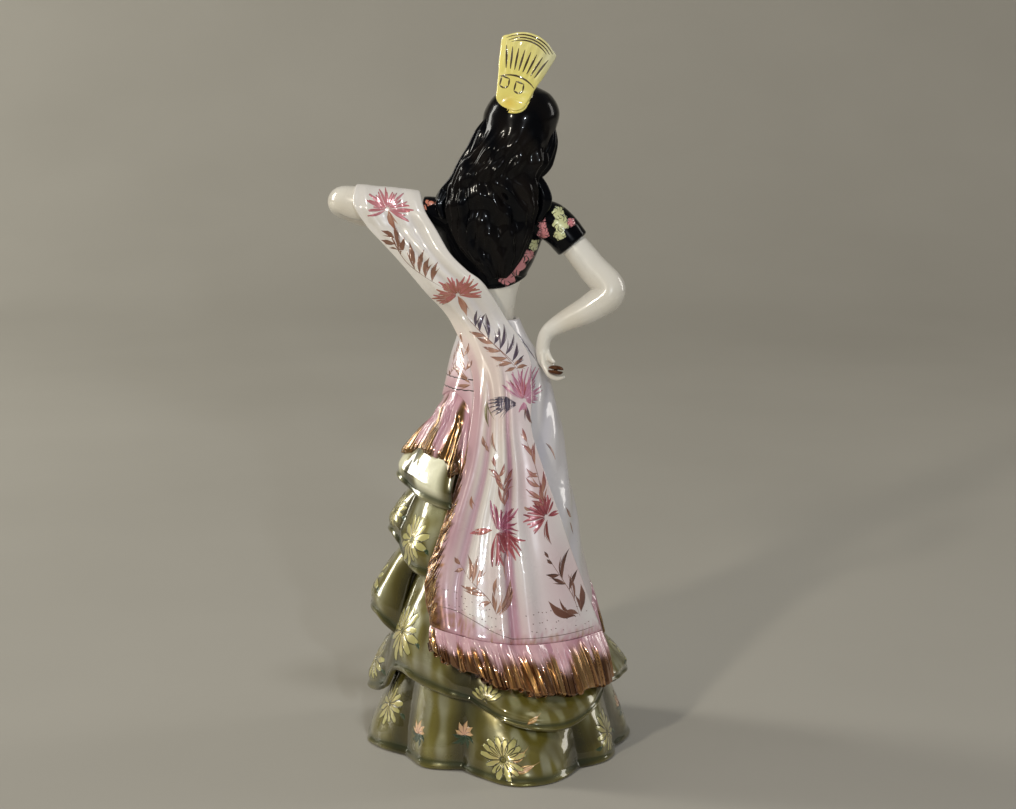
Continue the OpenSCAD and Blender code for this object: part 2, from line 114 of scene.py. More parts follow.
def numbered(rows):
    """Rows with their number in front, so that along can be read at a row number."""
    return [[i, *r] for i, r in enumerate(rows)]


def around(v, a):
    """A value given at her left, back, right and front, at an angle between them."""
    a = np.radians(a)
    return (
        sum(v) / 4
        + (v[0] - v[2]) / 2 * np.cos(a)
        + (v[1] - v[3]) / 2 * np.sin(a)
        + (v[0] - v[1] + v[2] - v[3]) / 4 * np.cos(2 * a)
    )


def heading(a):
    """Cosine and sine of an angle in degrees."""
    return np.cos(np.radians(a)), np.sin(np.radians(a))


def ring(x, y, r, z, n):
    """n points of a level circle."""
    a = np.linspace(0, 2 * math.pi, n, endpoint=False)
    return np.stack([x + r * np.cos(a), y + r * np.sin(a), np.full(n, float(z))], 1)


def unit(v):
    return v / np.maximum(np.linalg.norm(v, axis=-1, keepdims=True), 1e-9)


def ripple(p, size, seed):
    """Smooth irregular noise, about -1 to 1, with bumps of the given size."""
    r = np.random.default_rng(seed)
    out = 0
    for _ in range(6):
        d = unit(r.normal(size=3)) * 2 * math.pi / size * r.uniform(0.6, 1.4)
        out = out + np.sin(p @ d + r.uniform(0, 2 * math.pi))
    return out / 3


def graded(n, length, rims=(0.1, 0.35, 0.8, 1.4, 2.2)):
    """Positions from 0 to 1 along a length, packed near both ends so that rims come out round."""
    e = np.array([0, *rims]) / length
    inner = np.linspace(e[-1], 1 - e[-1], n)
    return np.concatenate([e[:-1], inner, 1 - e[:-1][::-1]])


# ---- Meshes

def add_mesh(name, verts, faces, paint, material, slot, replaces=()):
    """A piece from points in mm, faces, and a colour with a lustre weight for each point."""
    verts = np.array(verts, float).reshape(-1, 3) * MM
    verts[:, 2] = np.maximum(verts[:, 2], 0)
    mesh = bpy.data.meshes.new(name)
    mesh.from_pydata(verts.tolist(), [], [list(f) for f in faces])
    mesh.validate()
    mesh.polygons.foreach_set("use_smooth", [True] * len(mesh.polygons))
    obj = bpy.data.objects.new(name, mesh)
    bpy.context.scene.collection.objects.link(obj)
    set_paint(obj, paint)
    return finish_piece(obj, material, replaces)


def set_paint(obj, paint):
    n = len(obj.data.vertices)
    paint = np.asarray(paint, float)
    if paint.ndim == 1:
        paint = np.broadcast_to(paint, (n, len(paint)))
    paint = paint.reshape(n, -1)
    if paint.shape[1] == 3:
        paint = np.concatenate([paint, np.zeros((n, 1))], 1)
    old = obj.data.color_attributes.get("paint")
    if old:
        obj.data.color_attributes.remove(old)
    layer = obj.data.color_attributes.new(name="paint", type="FLOAT_COLOR", domain="POINT")
    layer.data.foreach_set("color", paint.astype(np.float32).ravel())


def finish_piece(obj, material, replaces=()):
    obj.data.materials.clear()
    obj.data.materials.append(material)
    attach(obj, "root")
    if replaces:
        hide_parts(*replaces)
    return obj


def grid_faces(rows, cols, closed=False, start=0):
    """Quads of a grid whose rows go up and columns go anticlockwise seen from above."""
    r = np.arange(rows - 1)[:, None]
    c = np.arange(cols if closed else cols - 1)[None, :]
    d = (c + 1) % cols
    q = np.stack([r * cols + c, r * cols + d, (r + 1) * cols + d, (r + 1) * cols + c], -1)
    return q.reshape(-1, 4) + start


def grid_normals(p, closed=False):
    if closed:
        du = np.roll(p, -1, 1) - np.roll(p, 1, 1)
    else:
        du = np.gradient(p, axis=1)
    dv = np.gradient(p, axis=0)
    return unit(np.cross(du, dv))


def slab(p, thick, edge, closed, rim):
    """A sheet with rounded rims. p is its outer face, edge each point's distance from a rim."""
    rows, cols = p.shape[:2]
    n = grid_normals(p, closed)
    k = np.sqrt(1 - (1 - np.clip(edge / rim, 0, 1)) ** 2)[..., None]
    mid = p - n * thick / 2
    outer = mid + n * thick / 2 * k
    inner = mid - n * thick / 2 * k
    ids = np.arange(rows * cols).reshape(rows, cols)
    inside = np.zeros((rows, cols), bool)
    if closed:
        inside[1:-1, :] = True
    else:
        inside[1:-1, 1:-1] = True
    back = ids.copy()
    back[inside] = rows * cols + np.arange(inside.sum())
    faces = grid_faces(rows, cols, closed)
    rear = back.reshape(-1)[faces][:, ::-1]
    verts = np.concatenate([outer.reshape(-1, 3), inner[inside]])
    return verts, np.concatenate([faces, rear]), inside


def sheet_piece(name, p, thick, edge, paint, material, slot, replaces=(), closed=False, rim=1.1):
    verts, faces, inside = slab(p, thick, edge, closed, rim)
    both = np.concatenate([paint.reshape(-1, paint.shape[-1]), paint[inside]])
    return add_mesh(name, verts, faces, both, material, slot, replaces)


def loft(rings):
    """Closed body through rings of points, lowest first. Returns points and faces."""
    p = np.asarray(rings, float)
    rows, cols = p.shape[:2]
    verts = p.reshape(-1, 3)
    low = p[0].mean(0)
    high = p[-1].mean(0)
    verts = np.concatenate([verts, [low, high]])
    faces = [tuple(f) for f in grid_faces(rows, cols, True)]
    a, b = rows * cols, rows * cols + 1
    top = (rows - 1) * cols
    for c in range(cols):
        d = (c + 1) % cols
        faces.append((a, d, c))
        faces.append((b, top + c, top + d))
    return verts, faces


def limb_rings(path, steps, n, reference):
    """Rings round a path of [x, y, z, radius], turned so that they keep to the reference way."""
    k = np.linspace(0, len(path) - 1, steps + 1)
    p = along(numbered(path), k)
    centre, radius = p[:, :3], p[:, 3]
    t = unit(np.gradient(centre, axis=0))
    u = unit(np.cross(t, np.asarray(reference, float)))
    w = np.cross(t, u)
    a = np.linspace(0, 2 * math.pi, n, endpoint=False)
    round_it = u[:, None] * np.cos(a)[:, None] + w[:, None] * np.sin(a)[:, None]
    return centre[:, None] + round_it * radius[:, None, None]


def round_ends(rings, amount):
    """Adds small closing rings so that a limb ends in a soft dome instead of a flat cut."""
    out = list(rings)
    for at, other in ((0, 1), (-1, -2)):
        ring = rings[at]
        centre = ring.mean(0)
        way = centre - rings[other].mean(0)
        way = way / max(np.linalg.norm(way), 1e-9)
        size = np.linalg.norm(ring - centre, axis=1).mean() * amount
        caps = []
        for f in (0.5, 0.8, 0.95):
            caps.append(centre + (ring - centre) * math.sqrt(1 - f * f) + way * size * f)
        out = caps[::-1] + out if at == 0 else out + caps
    return np.array(out)


def merged(bodies):
    """Points and faces of several closed bodies together."""
    verts, faces, start = [], [], 0
    for v, f in bodies:
        verts.append(np.asarray(v, float))
        faces += [tuple(int(i) + start for i in q) for q in f]
        start += len(v)
    return np.concatenate(verts), faces


def fuse(name, bodies, voxel, smooth_steps, material, slot, paint):
    """One skin over several closed bodies, softened where they meet, as slip and glaze do."""
    obj = add_mesh(name, *merged(bodies), BLACK, material, slot)
    remesh = obj.modifiers.new("skin", "REMESH")
    remesh.mode = "VOXEL"
    remesh.voxel_size = voxel * MM
    remesh.use_smooth_shade = True
    soft = obj.modifiers.new("soft", "SMOOTH")
    soft.factor = 0.5
    soft.iterations = smooth_steps
    depsgraph = bpy.context.evaluated_depsgraph_get()
    mesh = bpy.data.meshes.new_from_object(obj.evaluated_get(depsgraph))
    obj.modifiers.clear()
    old = obj.data
    obj.data = mesh
    bpy.data.meshes.remove(old)
    mesh.name = name
    mesh.polygons.foreach_set("use_smooth", [True] * len(mesh.polygons))
    set_paint(obj, paint(points(obj)) if callable(paint) else paint)
    return finish_piece(obj, material, (name.split(".")[0],))


def points(obj):
    p = np.empty(len(obj.data.vertices) * 3)
    obj.data.vertices.foreach_get("co", p)
    return p.reshape(-1, 3) / MM


def ray_tree(*objs):
    """The surfaces of some pieces, in mm, for rays to be cast at."""
    verts, faces = merged([(points(o), [q.vertices for q in o.data.polygons]) for o in objs])
    return BVHTree.FromPolygons(verts.tolist(), faces)


# ---- Brushwork

# Mean radius of the flounces, and how far out the rays start that find a painted surface, in mm.
FLOUNCE_R = 58
ROUND_RAY = 150
FLAT_RAY = 200
# A stroke: the share of its half width at which points are laid, its step along the path, how far
# its edges and its root lie under the surface, and the longest step that stays on one surface.
STROKE_ACROSS = (-1, -0.55, 0, 0.55, 1)
STROKE_STEP = 0.7
STROKE_SUNK = 0.03
STROKE_ROOT = 0.12
LONGEST_JUMP = 5


class Canvas:
    """A painted surface: brush strokes are laid on it as thin closed beads of enamel.

    Places on it are (x, z) seen from the back or the front, or (angle, z) round the figurine.
    """

    def __init__(self, view, objs, radius=FLOUNCE_R):
        self.view, self.radius = view, radius
        self.tree = ray_tree(*objs)
        self.verts, self.faces, self.paint = [], [], []

    def place(self, a, b):
        """The surface point at (a, b) and its normal, or None."""
        if self.view == "round":
            t = math.radians(a)
            way = (-math.cos(t), -math.sin(t), 0)
            start = (-ROUND_RAY * way[0], -ROUND_RAY * way[1], b)
        else:
            way = (0, -1 if self.view == "back" else 1, 0)
            start = (a, -FLAT_RAY * way[1], b)
        at, normal, _, _ = self.tree.ray_cast(Vector(start), Vector(way))
        if at is None:
            return None
        if normal.dot(Vector(way)) > 0:
            normal = -normal
        return np.array(at), np.array(normal)

    def polar(self, centre, degrees, r):
        """The place r mm from centre, at an angle anticlockwise from the right as seen."""
        t = math.radians(degrees)
        u, v = r * math.cos(t), r * math.sin(t)
        if self.view == "round":
            u = math.degrees(u / self.radius)
        return (centre[0] + (-u if self.view == "back" else u), centre[1] + v)

    def stroke(self, path, width, colour, tail=None, lift=0.09, taper=(0.15, 0.0), metal=0.0):
        """One stroke along a path of places. width is at its belly; the ends run out thin."""
        path = np.asarray(path, float)
        scale = 180 / math.pi / self.radius if self.view == "round" else 1.0
        length = np.linalg.norm(np.diff(path / [scale, 1], axis=0), axis=1).sum()
        n = int(np.clip(length / STROKE_STEP, 5, 26))
        k = np.linspace(0, len(path) - 1, n)
        line = along(numbered(path), k) / [scale, 1]
        t = unit(np.gradient(line, axis=0))
        side = np.stack([-t[:, 1], t[:, 0]], 1)
        s = np.linspace(0, 1, n)
        half = width / 2 * np.sqrt(np.clip(np.sin(math.pi * (0.06 + 0.88 * s)), 0, 1))
        half *= np.minimum(1, taper[0] + (1 - taper[0]) * s * 3.5)
        half *= np.minimum(1, taper[1] + (1 - taper[1]) * (1 - s) * 2.6)
        tail = colour if tail is None else tail
        base = len(self.verts)
        rows = []
        for i in range(n):
            row = []
            for c in STROKE_ACROSS:
                a, b = (line[i] + side[i] * half[i] * c) * [scale, 1]
                got = self.place(a, b)
                if got is None:
                    return
                rise = lift * (1 - c * c) - STROKE_SUNK
                row.append(got[0] + got[1] * rise)
                if c == 0:
                    under = got[0] - got[1] * STROKE_ROOT
            row.append(under)
            rows.append(row)
        p = np.array(rows)
        if np.linalg.norm(np.diff(p[:, 2], axis=0), axis=1).max() > LONGEST_JUMP:
            return
        m = p.shape[1]
        self.verts += p.reshape(-1, 3).tolist()
        self.paint += np.repeat(lustred(mix(colour, tail, s), np.full(n, metal)), m, 0).tolist()
        self.faces += grid_faces(n, m, True, base).tolist()
        self.faces.append(tuple(range(base + m - 1, base - 1, -1)))
        self.faces.append(tuple(range(base + (n - 1) * m, base + n * m)))

    def done(self, name, material, slot):
        add_mesh(name, self.verts, self.faces, np.array(self.paint), material, slot)


# ---- Glazes

# Depth of the waves in the glaze, in metres, and its noises as (scale, detail): clouds of tone,
# fine specks and the waves.
GLAZE_RELIEF = 0.0006
CLOUDS = (55, 4)
SPECKS = (900, 3)
GLAZE_WAVES = (140, 1)


def node(tree, kind, **inputs):
    """A new shader node, with the named inputs set."""
    made = tree.nodes.new("ShaderNode" + kind)
    for name, value in inputs.items():
        made.inputs[name.replace("_", " ")].default_value = value
    return made


def product(tree, a, b):
    """The product of two sockets, or of a socket and a number."""
    made = node(tree, "Math")
    made.operation = "MULTIPLY"
    tree.links.new(a, made.inputs[0])
    if isinstance(b, float):
        made.inputs[1].default_value = b
    else:
        tree.links.new(b, made.inputs[1])
    return made.outputs["Value"]


def noise(tree, scale, detail):
    """Noise over the object's own space, as a socket."""
    made = node(tree, "TexNoise", Scale=scale, Detail=detail)
    where = node(tree, "TexCoord")
    tree.links.new(where.outputs["Object"], made.inputs["Vector"])
    return made.outputs["Fac"]


def spread(tree, socket, low, high):
    """A 0 to 1 socket mapped to low to high."""
    made = node(tree, "MapRange", To_Min=low, To_Max=high)
    tree.links.new(socket, made.inputs["Value"])
    return made.outputs["Result"]


def glaze(name, rough, coat=1.0, lustre=0.0, mottle=0.12, wave=0.25, ior=1.6, body=0.5):
    """A fired glaze over the painted colour. lustre follows the paint's own lustre weight."""
    mat = bpy.data.materials.new(name)
    mat.use_nodes = True
    tree = mat.node_tree
    shader = tree.nodes["Principled BSDF"]
    paint = node(tree, "Attribute")
    paint.attribute_name = "paint"
    cloud = noise(tree, *CLOUDS)
    tone = spread(tree, cloud, 1 - mottle, 1 + mottle)
    fine = mottle * 0.35
    speck = spread(tree, noise(tree, *SPECKS), 1 - fine, 1 + fine)
    scaled = node(tree, "VectorMath")
    scaled.operation = "SCALE"
    tree.links.new(paint.outputs["Color"], scaled.inputs[0])
    tree.links.new(product(tree, tone, speck), scaled.inputs["Scale"])
    tree.links.new(scaled.outputs["Vector"], shader.inputs["Base Color"])
    if lustre:
        metal = product(tree, paint.outputs["Alpha"], lustre)
        tree.links.new(metal, shader.inputs["Metallic"])
    rub = spread(tree, cloud, rough * 0.7, rough * 1.4)
    tree.links.new(rub, shader.inputs["Roughness"])
    relief = node(tree, "Bump", Strength=wave, Distance=GLAZE_RELIEF)
    tree.links.new(noise(tree, *GLAZE_WAVES), relief.inputs["Height"])
    for target in ("Normal", "Coat Normal"):
        tree.links.new(relief.outputs["Normal"], shader.inputs[target])
    shader.inputs["Coat Weight"].default_value = coat
    shader.inputs["Coat Roughness"].default_value = 0.03
    shader.inputs["Coat IOR"].default_value = ior
    shader.inputs["Specular IOR Level"].default_value = body
    return mat


CLEAR = glaze("clear_glaze", 0.28, mottle=0.03)
JET = glaze("black_glaze", 0.22, mottle=0.25, wave=0.4, ior=1.2, body=0.05)
LUSTRE = glaze("olive_lustre", 0.24, lustre=1.0, mottle=0.22, wave=0.4)
GILT = glaze("gold_lustre", 0.2, lustre=1.0, mottle=0.2, wave=0.4)
COMB = glaze("comb_glaze", 0.25, mottle=0.06)
ENAMEL = glaze("enamel", 0.25, lustre=1.0, mottle=0.18)
CLAY = glaze("bare_clay", 0.8, coat=0.0, mottle=0.15)
GILTED = glaze("blush_and_gilt", 0.26, lustre=1.0, mottle=0.04)


# ---- Skirt

CORE = [[0, 58], [30, 51], [60, 44], [100, 36.5], [140, 29], [170, 23.4], [190, 19],
        [205, 14.5], [212, 11.5]]
# Heights of the upper edge and the hem, radius of the hem in its folds, each at her left, back,
# right and front or as [angle, value] rows; then [angle of a fold, bulge of the next lobe].
FLOUNCES = [
    ([172, 166, 146, 130],
     [[-104, 104], [-62, 116], [-20, 138], [6, 141.5], [26, 135], [60, 130]],
     [47, 42.5, 46, 47], [[-104, 5], [-62, 6], [-20, 5.5], [20, 4], [60, 0]]),
    ([148, 138, 124, 112],
     [[-140, 83], [-98, 79], [-58, 89.5], [-20, 107], [6, 111], [22, 101], [40, 96.5], [60, 95]],
     [51, 48, 49, 52], [[-140, 6], [-98, 6], [-58, 6], [-20, 6.5], [16, 5], [60, 0]]),
    ([116, 100, 98, 86],
     [[-162, 56], [-122, 51], [-90, 48], [-60, 53], [-30, 65], [-8, 70], [6, 68], [13, 63], [20, 56]],
     [[-162, 50], [-122, 52.5], [-80, 56.5], [-34, 60], [4, 60.5], [12, 58.5], [20, 53]],
     [[-162, 5], [-122, 7], [-80, 7], [-34, 7], [20, 0]]),
    ([[-20, 70], [4, 71], [16, 96], [27, 98], [55, 93], [80, 64], [110, 50], [150, 52], [180, 60],
      [225, 56], [270, 52], [340, 70]],
     [[-20, 29], [14, 28], [27, 43], [50, 41], [79, 34], [92, 30], [105, 28], [118, 28],
      [140, 33], [153, 36], [180, 37], [225, 32], [270, 26], [340, 29]],
     [[-20, 63], [0, 64], [18, 60], [30, 57], [60, 57], [79, 58], [100, 59], [140, 61],
      [180, 62], [340, 63]],
     [[-20, 5], [16, 3], [76, 17], [150, 6], [204, 7], [248, 7], [292, 7], [340, 0]]),
    ([[-34, 37], [12, 37], [26, 54], [50, 51], [80, 42], [110, 36], [150, 42], [180, 43],
      [226, 38], [270, 33], [326, 37]],
     [0, 0, 0, 0],
     [[-34, 61], [36, 57], [72, 57.5], [90, 58], [125, 65], [140, 64], [158, 63], [178, 62],
      [226, 60], [276, 61], [326, 61]],
     [[-34, 10], [36, 5], [72, 19], [128, 4], [160, 7], [226, 9], [276, 9], [326, 0]]),
]
FLOUNCE_T = 3.0
# Height that stands for a flounce, and its radius, when distances from its rims are worked out.
FLOUNCE_H = 40
RIM_R = 50
RADIAN = 57.3
# For each flounce: roundness of the lobes, tuck under the hem, filling of the folds towards her
# back, strength of the painted highlight on the lobe tops, and waviness.
SOFTNESS = (0.85, 0.85, 0.85, 1.1, 1.2)
TUCK = (2.2, 2.4, 2.6, 2.0, 0.5)
FILLING = (0.8, 0.45, 0, 0, 0)
PAINTED_SHEEN = (0.7, 0.66, 0.6, 0.6, 0.62)
WAVINESS = (0.8, 0.45, 0.45, 0.45, 0.45)
TOP, LOWEST = 0, 4


def core_r(z):
    t = np.asarray(CORE, float)
    return np.interp(z, t[:, 0], t[:, 1])


def level(v, a):
    """A value given as [angle, value] rows, or at four sides."""
    return along(v, a)[..., 0] if isinstance(v[0], list) else around(v, a)


def lobes(folds, a, power):
    """Bulge in mm and the 0 to 1 position between two folds, at angle a."""
    f = np.asarray(folds, float)
    i = np.clip(np.searchsorted(f[:, 0], a, side="right") - 1, 0, len(f) - 2)
    t = np.clip((a - f[i, 0]) / (f[i + 1, 0] - f[i, 0]), 0, 1)
    soft = np.sin(math.pi * t) ** power
    return f[i, 1] * soft, soft


def flounce_face(k, a, s):
    """Outer face of flounce k at angle a and s down from its upper edge."""
    top, hem, reach, folds = FLOUNCES[k]
    zt, zh = level(top, a), level(hem, a)
    z = zt + (zh - zt) * s
    start = core_r(zt) + FLOUNCE_T + 0.3
    flare = 1 - (1 - s) ** (1.35 if k == LOWEST else 1.6)
    swell, soft = lobes(folds, a, SOFTNESS[k])
    filled = (1 - soft) * FILLING[k] * step(-30, 10, a)
    swell = swell + 5 * filled
    soft = soft + filled
    z = z - (0 if k == LOWEST else 2.4) * (soft - 0.6) * s**1.5
    r = start + (level(reach, a) + 1 - start) * flare + swell * s**0.9
    r = r - TUCK[k] * step(0.78, 1.0, s) * (0.4 + 0.6 * soft)
    r = r + 0.7 * np.sin(np.radians(a * 9 + k * 70)) * s * soft
    r = r + 0.9 * bump(s, 1.0, 0.05) - 0.35 * bump(s, 0.9, 0.05)
    c, d = heading(a)
    p = np.stack([r * c, r * d, z + 0 * r], -1)
    out = np.stack([c, d, 0 * c], -1)
    return p + WAVINESS[k] * ripple(p, 16, 20 + k)[..., None] * out * s[..., None]


def build_flounce(k, cols):
    folds = FLOUNCES[k][3]
    first, turn = folds[0][0], folds[-1][0] - folds[0][0]
    closed = turn == 360
    if closed:
        a = first + turn * np.arange(cols) / cols
    else:
        a = first + turn * graded(cols, turn / RADIAN * RIM_R)
    A, S = np.meshgrid(a, graded(44, FLOUNCE_H)[::-1])
    p = flounce_face(k, A, S)
    edge = np.minimum(S, 1 - S) * FLOUNCE_H
    if not closed:
        side = (A - first) / turn
        edge = np.minimum(edge, np.minimum(side, 1 - side) * turn / RADIAN * RIM_R)
    if k == LOWEST:
        p[..., 2] = np.maximum(p[..., 2], 0)
    _, soft = lobes(folds, A, SOFTNESS[k])
    cloud = ripple(p, 20, 3)
    # Painted highlight: light is high on the lit tops of the lobes and fades near the hem. A pale sheen
    # is painted there and the lustre is lessened.
    light = np.clip(1.15 * step(0.35, 0.95, soft) * step(0.08, 0.5, S) + 0.35 * cloud, 0, 1)
    light *= 1 - 0.8 * step(0.8, 0.95, S)
    # Painted shade: the olive darkens in the folds between the lobes.
    tone = mix(OLIVE_DARK, OLIVE, step(0.0, 0.8, soft + 0.1 * (1 - S) + 0.14 * cloud))
    # The pale sheen of the painted highlight, laid over the lobe tops in broken bands.
    pale = mix(OLIVE_LIGHT, srgb(190, 192, 176), 0.5 + 0.5 * ripple(p, 30, 13))
    band = step(-0.5, 0.7, ripple(p * [1, 1, 0.1], 8, 31))
    tone = mix(tone, pale, PAINTED_SHEEN[k] * light * band)
    streak = 0.5 + 0.5 * ripple(p * [1, 1, 0.12], 9, 19)
    tone = mix(tone, srgb(84, 72, 22), 0.55 * streak * step(0.1, 0.6, S))
    # The top flounce turns cream on its lobe tops. This is partly its own paler glaze and partly painted
    # highlight.
    if k == TOP:
        tone = mix(tone, srgb(242, 240, 208), np.clip(1.15 * light, 0, 1) * step(-30, 0, A))
    # Painted shade along the upper edge, where the flounce above overhangs it.
    tone = mix(tone, OLIVE_DARK, 0.7 * step(0.3, 0.0, S))
    tone = mix(tone, srgb(46, 56, 30), 0.75 * bump(S, 0.93, 0.035))
    paint = lustred(tone, 0.3 + 0.2 * step(0.9, 1.0, S) - (0.28 if k == TOP else 0.14) * light)
    name = f"flounce_{k + 1}"
    return sheet_piece(name + ".glaze", p, FLOUNCE_T, edge, paint, LUSTRE, "olive_lustre",
                       (name,), closed, rim=1.5)


def build_skirt_body():
    n = 192
    # Circles as (x, y, radius, z): up the outside from the vent hole, over the waist socket and
    # down the inside.
    rings = [(0, 22, 5, 0.6), (0, 22, 5.5, 0), (0, 14, 22, 0), (0, 5, 44, 0), (0, 0, 56.4, 0),
             (0, 0, 57.5, 0.5), (0, 0, 57.8, 1.5)]
    for z in np.linspace(3, 211, 70):
        rings.append((0, 0, float(core_r(z)), z))
    rings += [(0, 0, 11.2, 212), (4, 0, 7.4, 212), (4, 0, 7.15, 211.7), (4, 0, 7.15, 204.2),
              (4, 0, 6.9, 204), (4, 0, 4, 204), (4, 0, 4, 191), (3.5, 0, 5, 190),
              (0, 0, 14, 189.6)]
    for z in np.linspace(186, 6, 40):
        rings.append((0, 0, float(core_r(z)) - 4, z))
    rings += [(0, 0, 50, 4), (0, 8, 34, 4), (0, 16, 16, 4), (0, 22, 5.5, 4), (0, 22, 5, 3.4)]
    p = np.array([ring(*row, n) for row in rings])
    rows = len(p)
    faces = grid_faces(rows, n, True).tolist()
    for c in range(n):
        d = (c + 1) % n
        faces.append([(rows - 1) * n + c, (rows - 1) * n + d, d, c])
    paint = mix(srgb(214, 196, 170), srgb(220, 212, 200), step(3, 12, p[..., 2]))
    return add_mesh("skirt_body.casting", p, faces, paint.reshape(-1, 3), CLAY, "body_glaze",
                    ("skirt_core",))


build_skirt_body()
flounces = [build_flounce(k, c) for k, c in enumerate((300, 340, 380, 640, 640))]


# ---- Shawl

SHAWL_T = 2.2
SHAWL_ROWS = [
    [[58, -11.5, 266], [49, -12.5, 263], [40, -12, 261]],
    [[67, -10.6, 278], [53, -10.6, 276.5], [39.5, -10.6, 275.5]],
    [[71, 0, 288.4], [55, 0, 286.8], [39, 0.5, 285]],
    [[72, 10.4, 279], [54, 10.8, 277.5], [36, 11.4, 276]],
    [[66, 11, 268.5], [48, 13, 267], [30, 16, 266]],
    [[58, 12, 259.5], [41, 17, 258], [23.5, 20.5, 255.5]],
    [[47.5, 14, 248], [32, 20, 248], [16, 22, 248]],
    [[37.5, 15, 236], [22.5, 21, 238.5], [7, 21.5, 240.5]],
    [[28, 11.5, 225.5], [13, 16.5, 225], [-3.5, 14.5, 223.5]],
    [[22, 13, 216], [6, 18.4, 214.5], [-11, 15, 213]],
    [[15.5, 20.5, 203.5], [1, 24.8, 202.6], [-16.5, 19, 202.8]],
    [[12.5, 27, 187.6], [-2, 30, 186.6], [-17.5, 25, 186.5]],
    [[14.5, 31.5, 167.5], [-3, 34.5, 167.4], [-17, 30.5, 169.4]],
    [[19, 35, 148.5], [-4, 39.5, 147.5], [-22, 33.5, 152.4]],
    [[27.5, 40, 123.5], [-3, 46, 121.5], [-29.5, 35.5, 131.5]],
    [[36.5, 44.5, 94.8], [-5, 54, 95.7], [-40, 34.5, 100.5]],
    [[34, 51, 74], [-9, 62.5, 67], [-53, 33, 66]],
]
FRINGE_EDGE = [[34.5, 56, 61.5], [-18, 71.5, 44], [-60, 35, 41.5]]
LAST = len(SHAWL_ROWS) - 1

# The drape's folds, waist to hem: [row, place across] lines, with a height in mm (ridge above
# nought, valley below), a half width across and the row where the fold begins.
FOLDS = [
    ([[9, 0.16], [12, 0.12], [16, 0.085]], 2.3, 0.07, 9.5),
    ([[9, 0.31], [12, 0.27], [14, 0.215], [16, 0.17]], -2.6, 0.045, 9),
    ([[9, 0.42], [12, 0.36], [14, 0.30], [16, 0.25]], 1.8, 0.07, 9.5),
    ([[8, 0.54], [12, 0.49], [14, 0.46], [16, 0.435]], 2.2, 0.05, 9),
    ([[8, 0.61], [12, 0.565], [14, 0.53], [16, 0.50]], -3.6, 0.036, 9),
    ([[9, 0.69], [12, 0.64], [16, 0.60]], 1.9, 0.055, 9),
    ([[12, 0.80], [14, 0.72], [16, 0.66]], -1.2, 0.045, 12.5),
    ([[9, 0.88], [12, 0.86], [16, 0.80]], 1.6, 0.11, 10),
]
# Soft creases where the cloth is gathered over the arm and across the back.
CREASES = [
    ([[2, 0.16], [5, 0.22], [9, 0.30]], 1.0, 0.07),
    ([[2, 0.36], [5, 0.42], [9, 0.44]], -0.8, 0.08),
    ([[3, 0.88], [6, 0.84], [9, 0.80]], 0.9, 0.09),
    ([[3, 0.70], [6, 0.66], [9, 0.62]], -0.7, 0.07),
]


def across(l, m, r, u):
    u = u[..., None]
    return l * (1 - u) * (1 - 2 * u) + m * 4 * u * (1 - u) + r * u * (2 * u - 1)


def guide(side, t):
    return along(numbered([row[side] for row in SHAWL_ROWS]), t)


def spine(u, t):
    return across(guide(0, t), guide(1, t), guide(2, t), u)


def folds_at(u, t):
    """Height of the folds at u across and row t."""
    out = 0
    for line, height, width, start in FOLDS:
        c = along(line, t)[..., 0]
        grow = step(start + 0.5, start + 5.0, t)
        out = out + height * grow * bump(u, c, width)
    for line, height, width in CREASES:
        c = along(line, t)[..., 0]
        grow = step(1.6, 3.4, t) * (1 - step(8.5, 11, t))
        out = out + height * grow * bump(u, c, width)
    return out


def shawl_face(u, t):
    e = 0.02
    du = spine(np.minimum(u + e, 1), t) - spine(np.maximum(u - e, 0), t)
    dv = spine(u, np.minimum(t + e, LAST)) - spine(u, np.maximum(t - e, 0))
    out = unit(np.cross(dv, du))
    p = spine(u, t)
    lift = folds_at(u, t) + 0.25 * ripple(p, 26, 5)
    return p + out * lift[..., None]


def hem_row(u):
    """The row at which the painted hem line crosses the cloth, u across."""
    return 15.9 - 0.42 * step(0.5, 0.1, u)


def shawl_colour(u, t, p):
    fold = folds_at(u, t)
    # Painted shade: lavender in the fold valleys and down the side of the drape near u 0.75.
    tone = mix(WHITE, LAVENDER, 0.55 * step(0.2, -1.5, fold) + 0.35 * bump(u, 0.75, 0.3) * step(6, 9, t))
    drape = step(8.5, 11, t)
    waist = bump(t, 10.5, 2.2) * step(0.75, 0.4, u)
    tone = mix(tone, srgb(246, 226, 208), 0.75 * waist)
    # Painted shade: mauve deepening in the fold valleys of the drape.
    valley_shade = np.clip((0.1 - fold) / 2.2, 0, 1) * drape
    pink = 0.25 * ripple(p, 34, 15) + 0.14 + 0.3 * step(0.5, 0.75, u)
    tone = mix(tone, BLUSH, np.clip(pink, 0, 1) * drape * 0.7)
    tone = mix(tone, BLUSH, 0.5 * step(14.2, 15.6, t) * bump(u, 0.5, 0.13))
    tone = mix(tone, MAUVE, 0.75 * valley_shade)
    band = step(0.215, 0.12, u) * step(8.5, 11.5, t)
    tone = mix(tone, mix(BLUSH, MAUVE, 0.6 + 0.3 * ripple(p, 20, 16)), 0.8 * band)
    rough = ripple(p, 5, 9)
    below = step(-0.12, 0.12, t - hem_row(u) + 0.06 * ripple(p, 3, 10))
    hang = 0.5 + 0.5 * ripple(p * [1, 1, 0.12], 2.6, 14)
    tone = mix(tone, mix(mix(BLUSH, MAUVE, 0.6), GOLD, 0.7 * step(0.45, 0.9, hang)), 0.85 * below)
    gilt = step(0.075, 0.01, u + 0.03 * rough - 0.012 * (t - 13)) * step(12.8, 14.0, t + 0.3 * rough)
    corner = step(0.16, 0.05, u) * step(14.9, 15.7, t + 0.35 * rough)
    gilt = np.maximum(gilt, 0.8 * corner)
    tone = mix(tone, mix(GOLD, BROWN, 0.3 + 0.4 * ripple(p, 4, 12)), gilt)
    return lustred(tone, 0.85 * gilt)


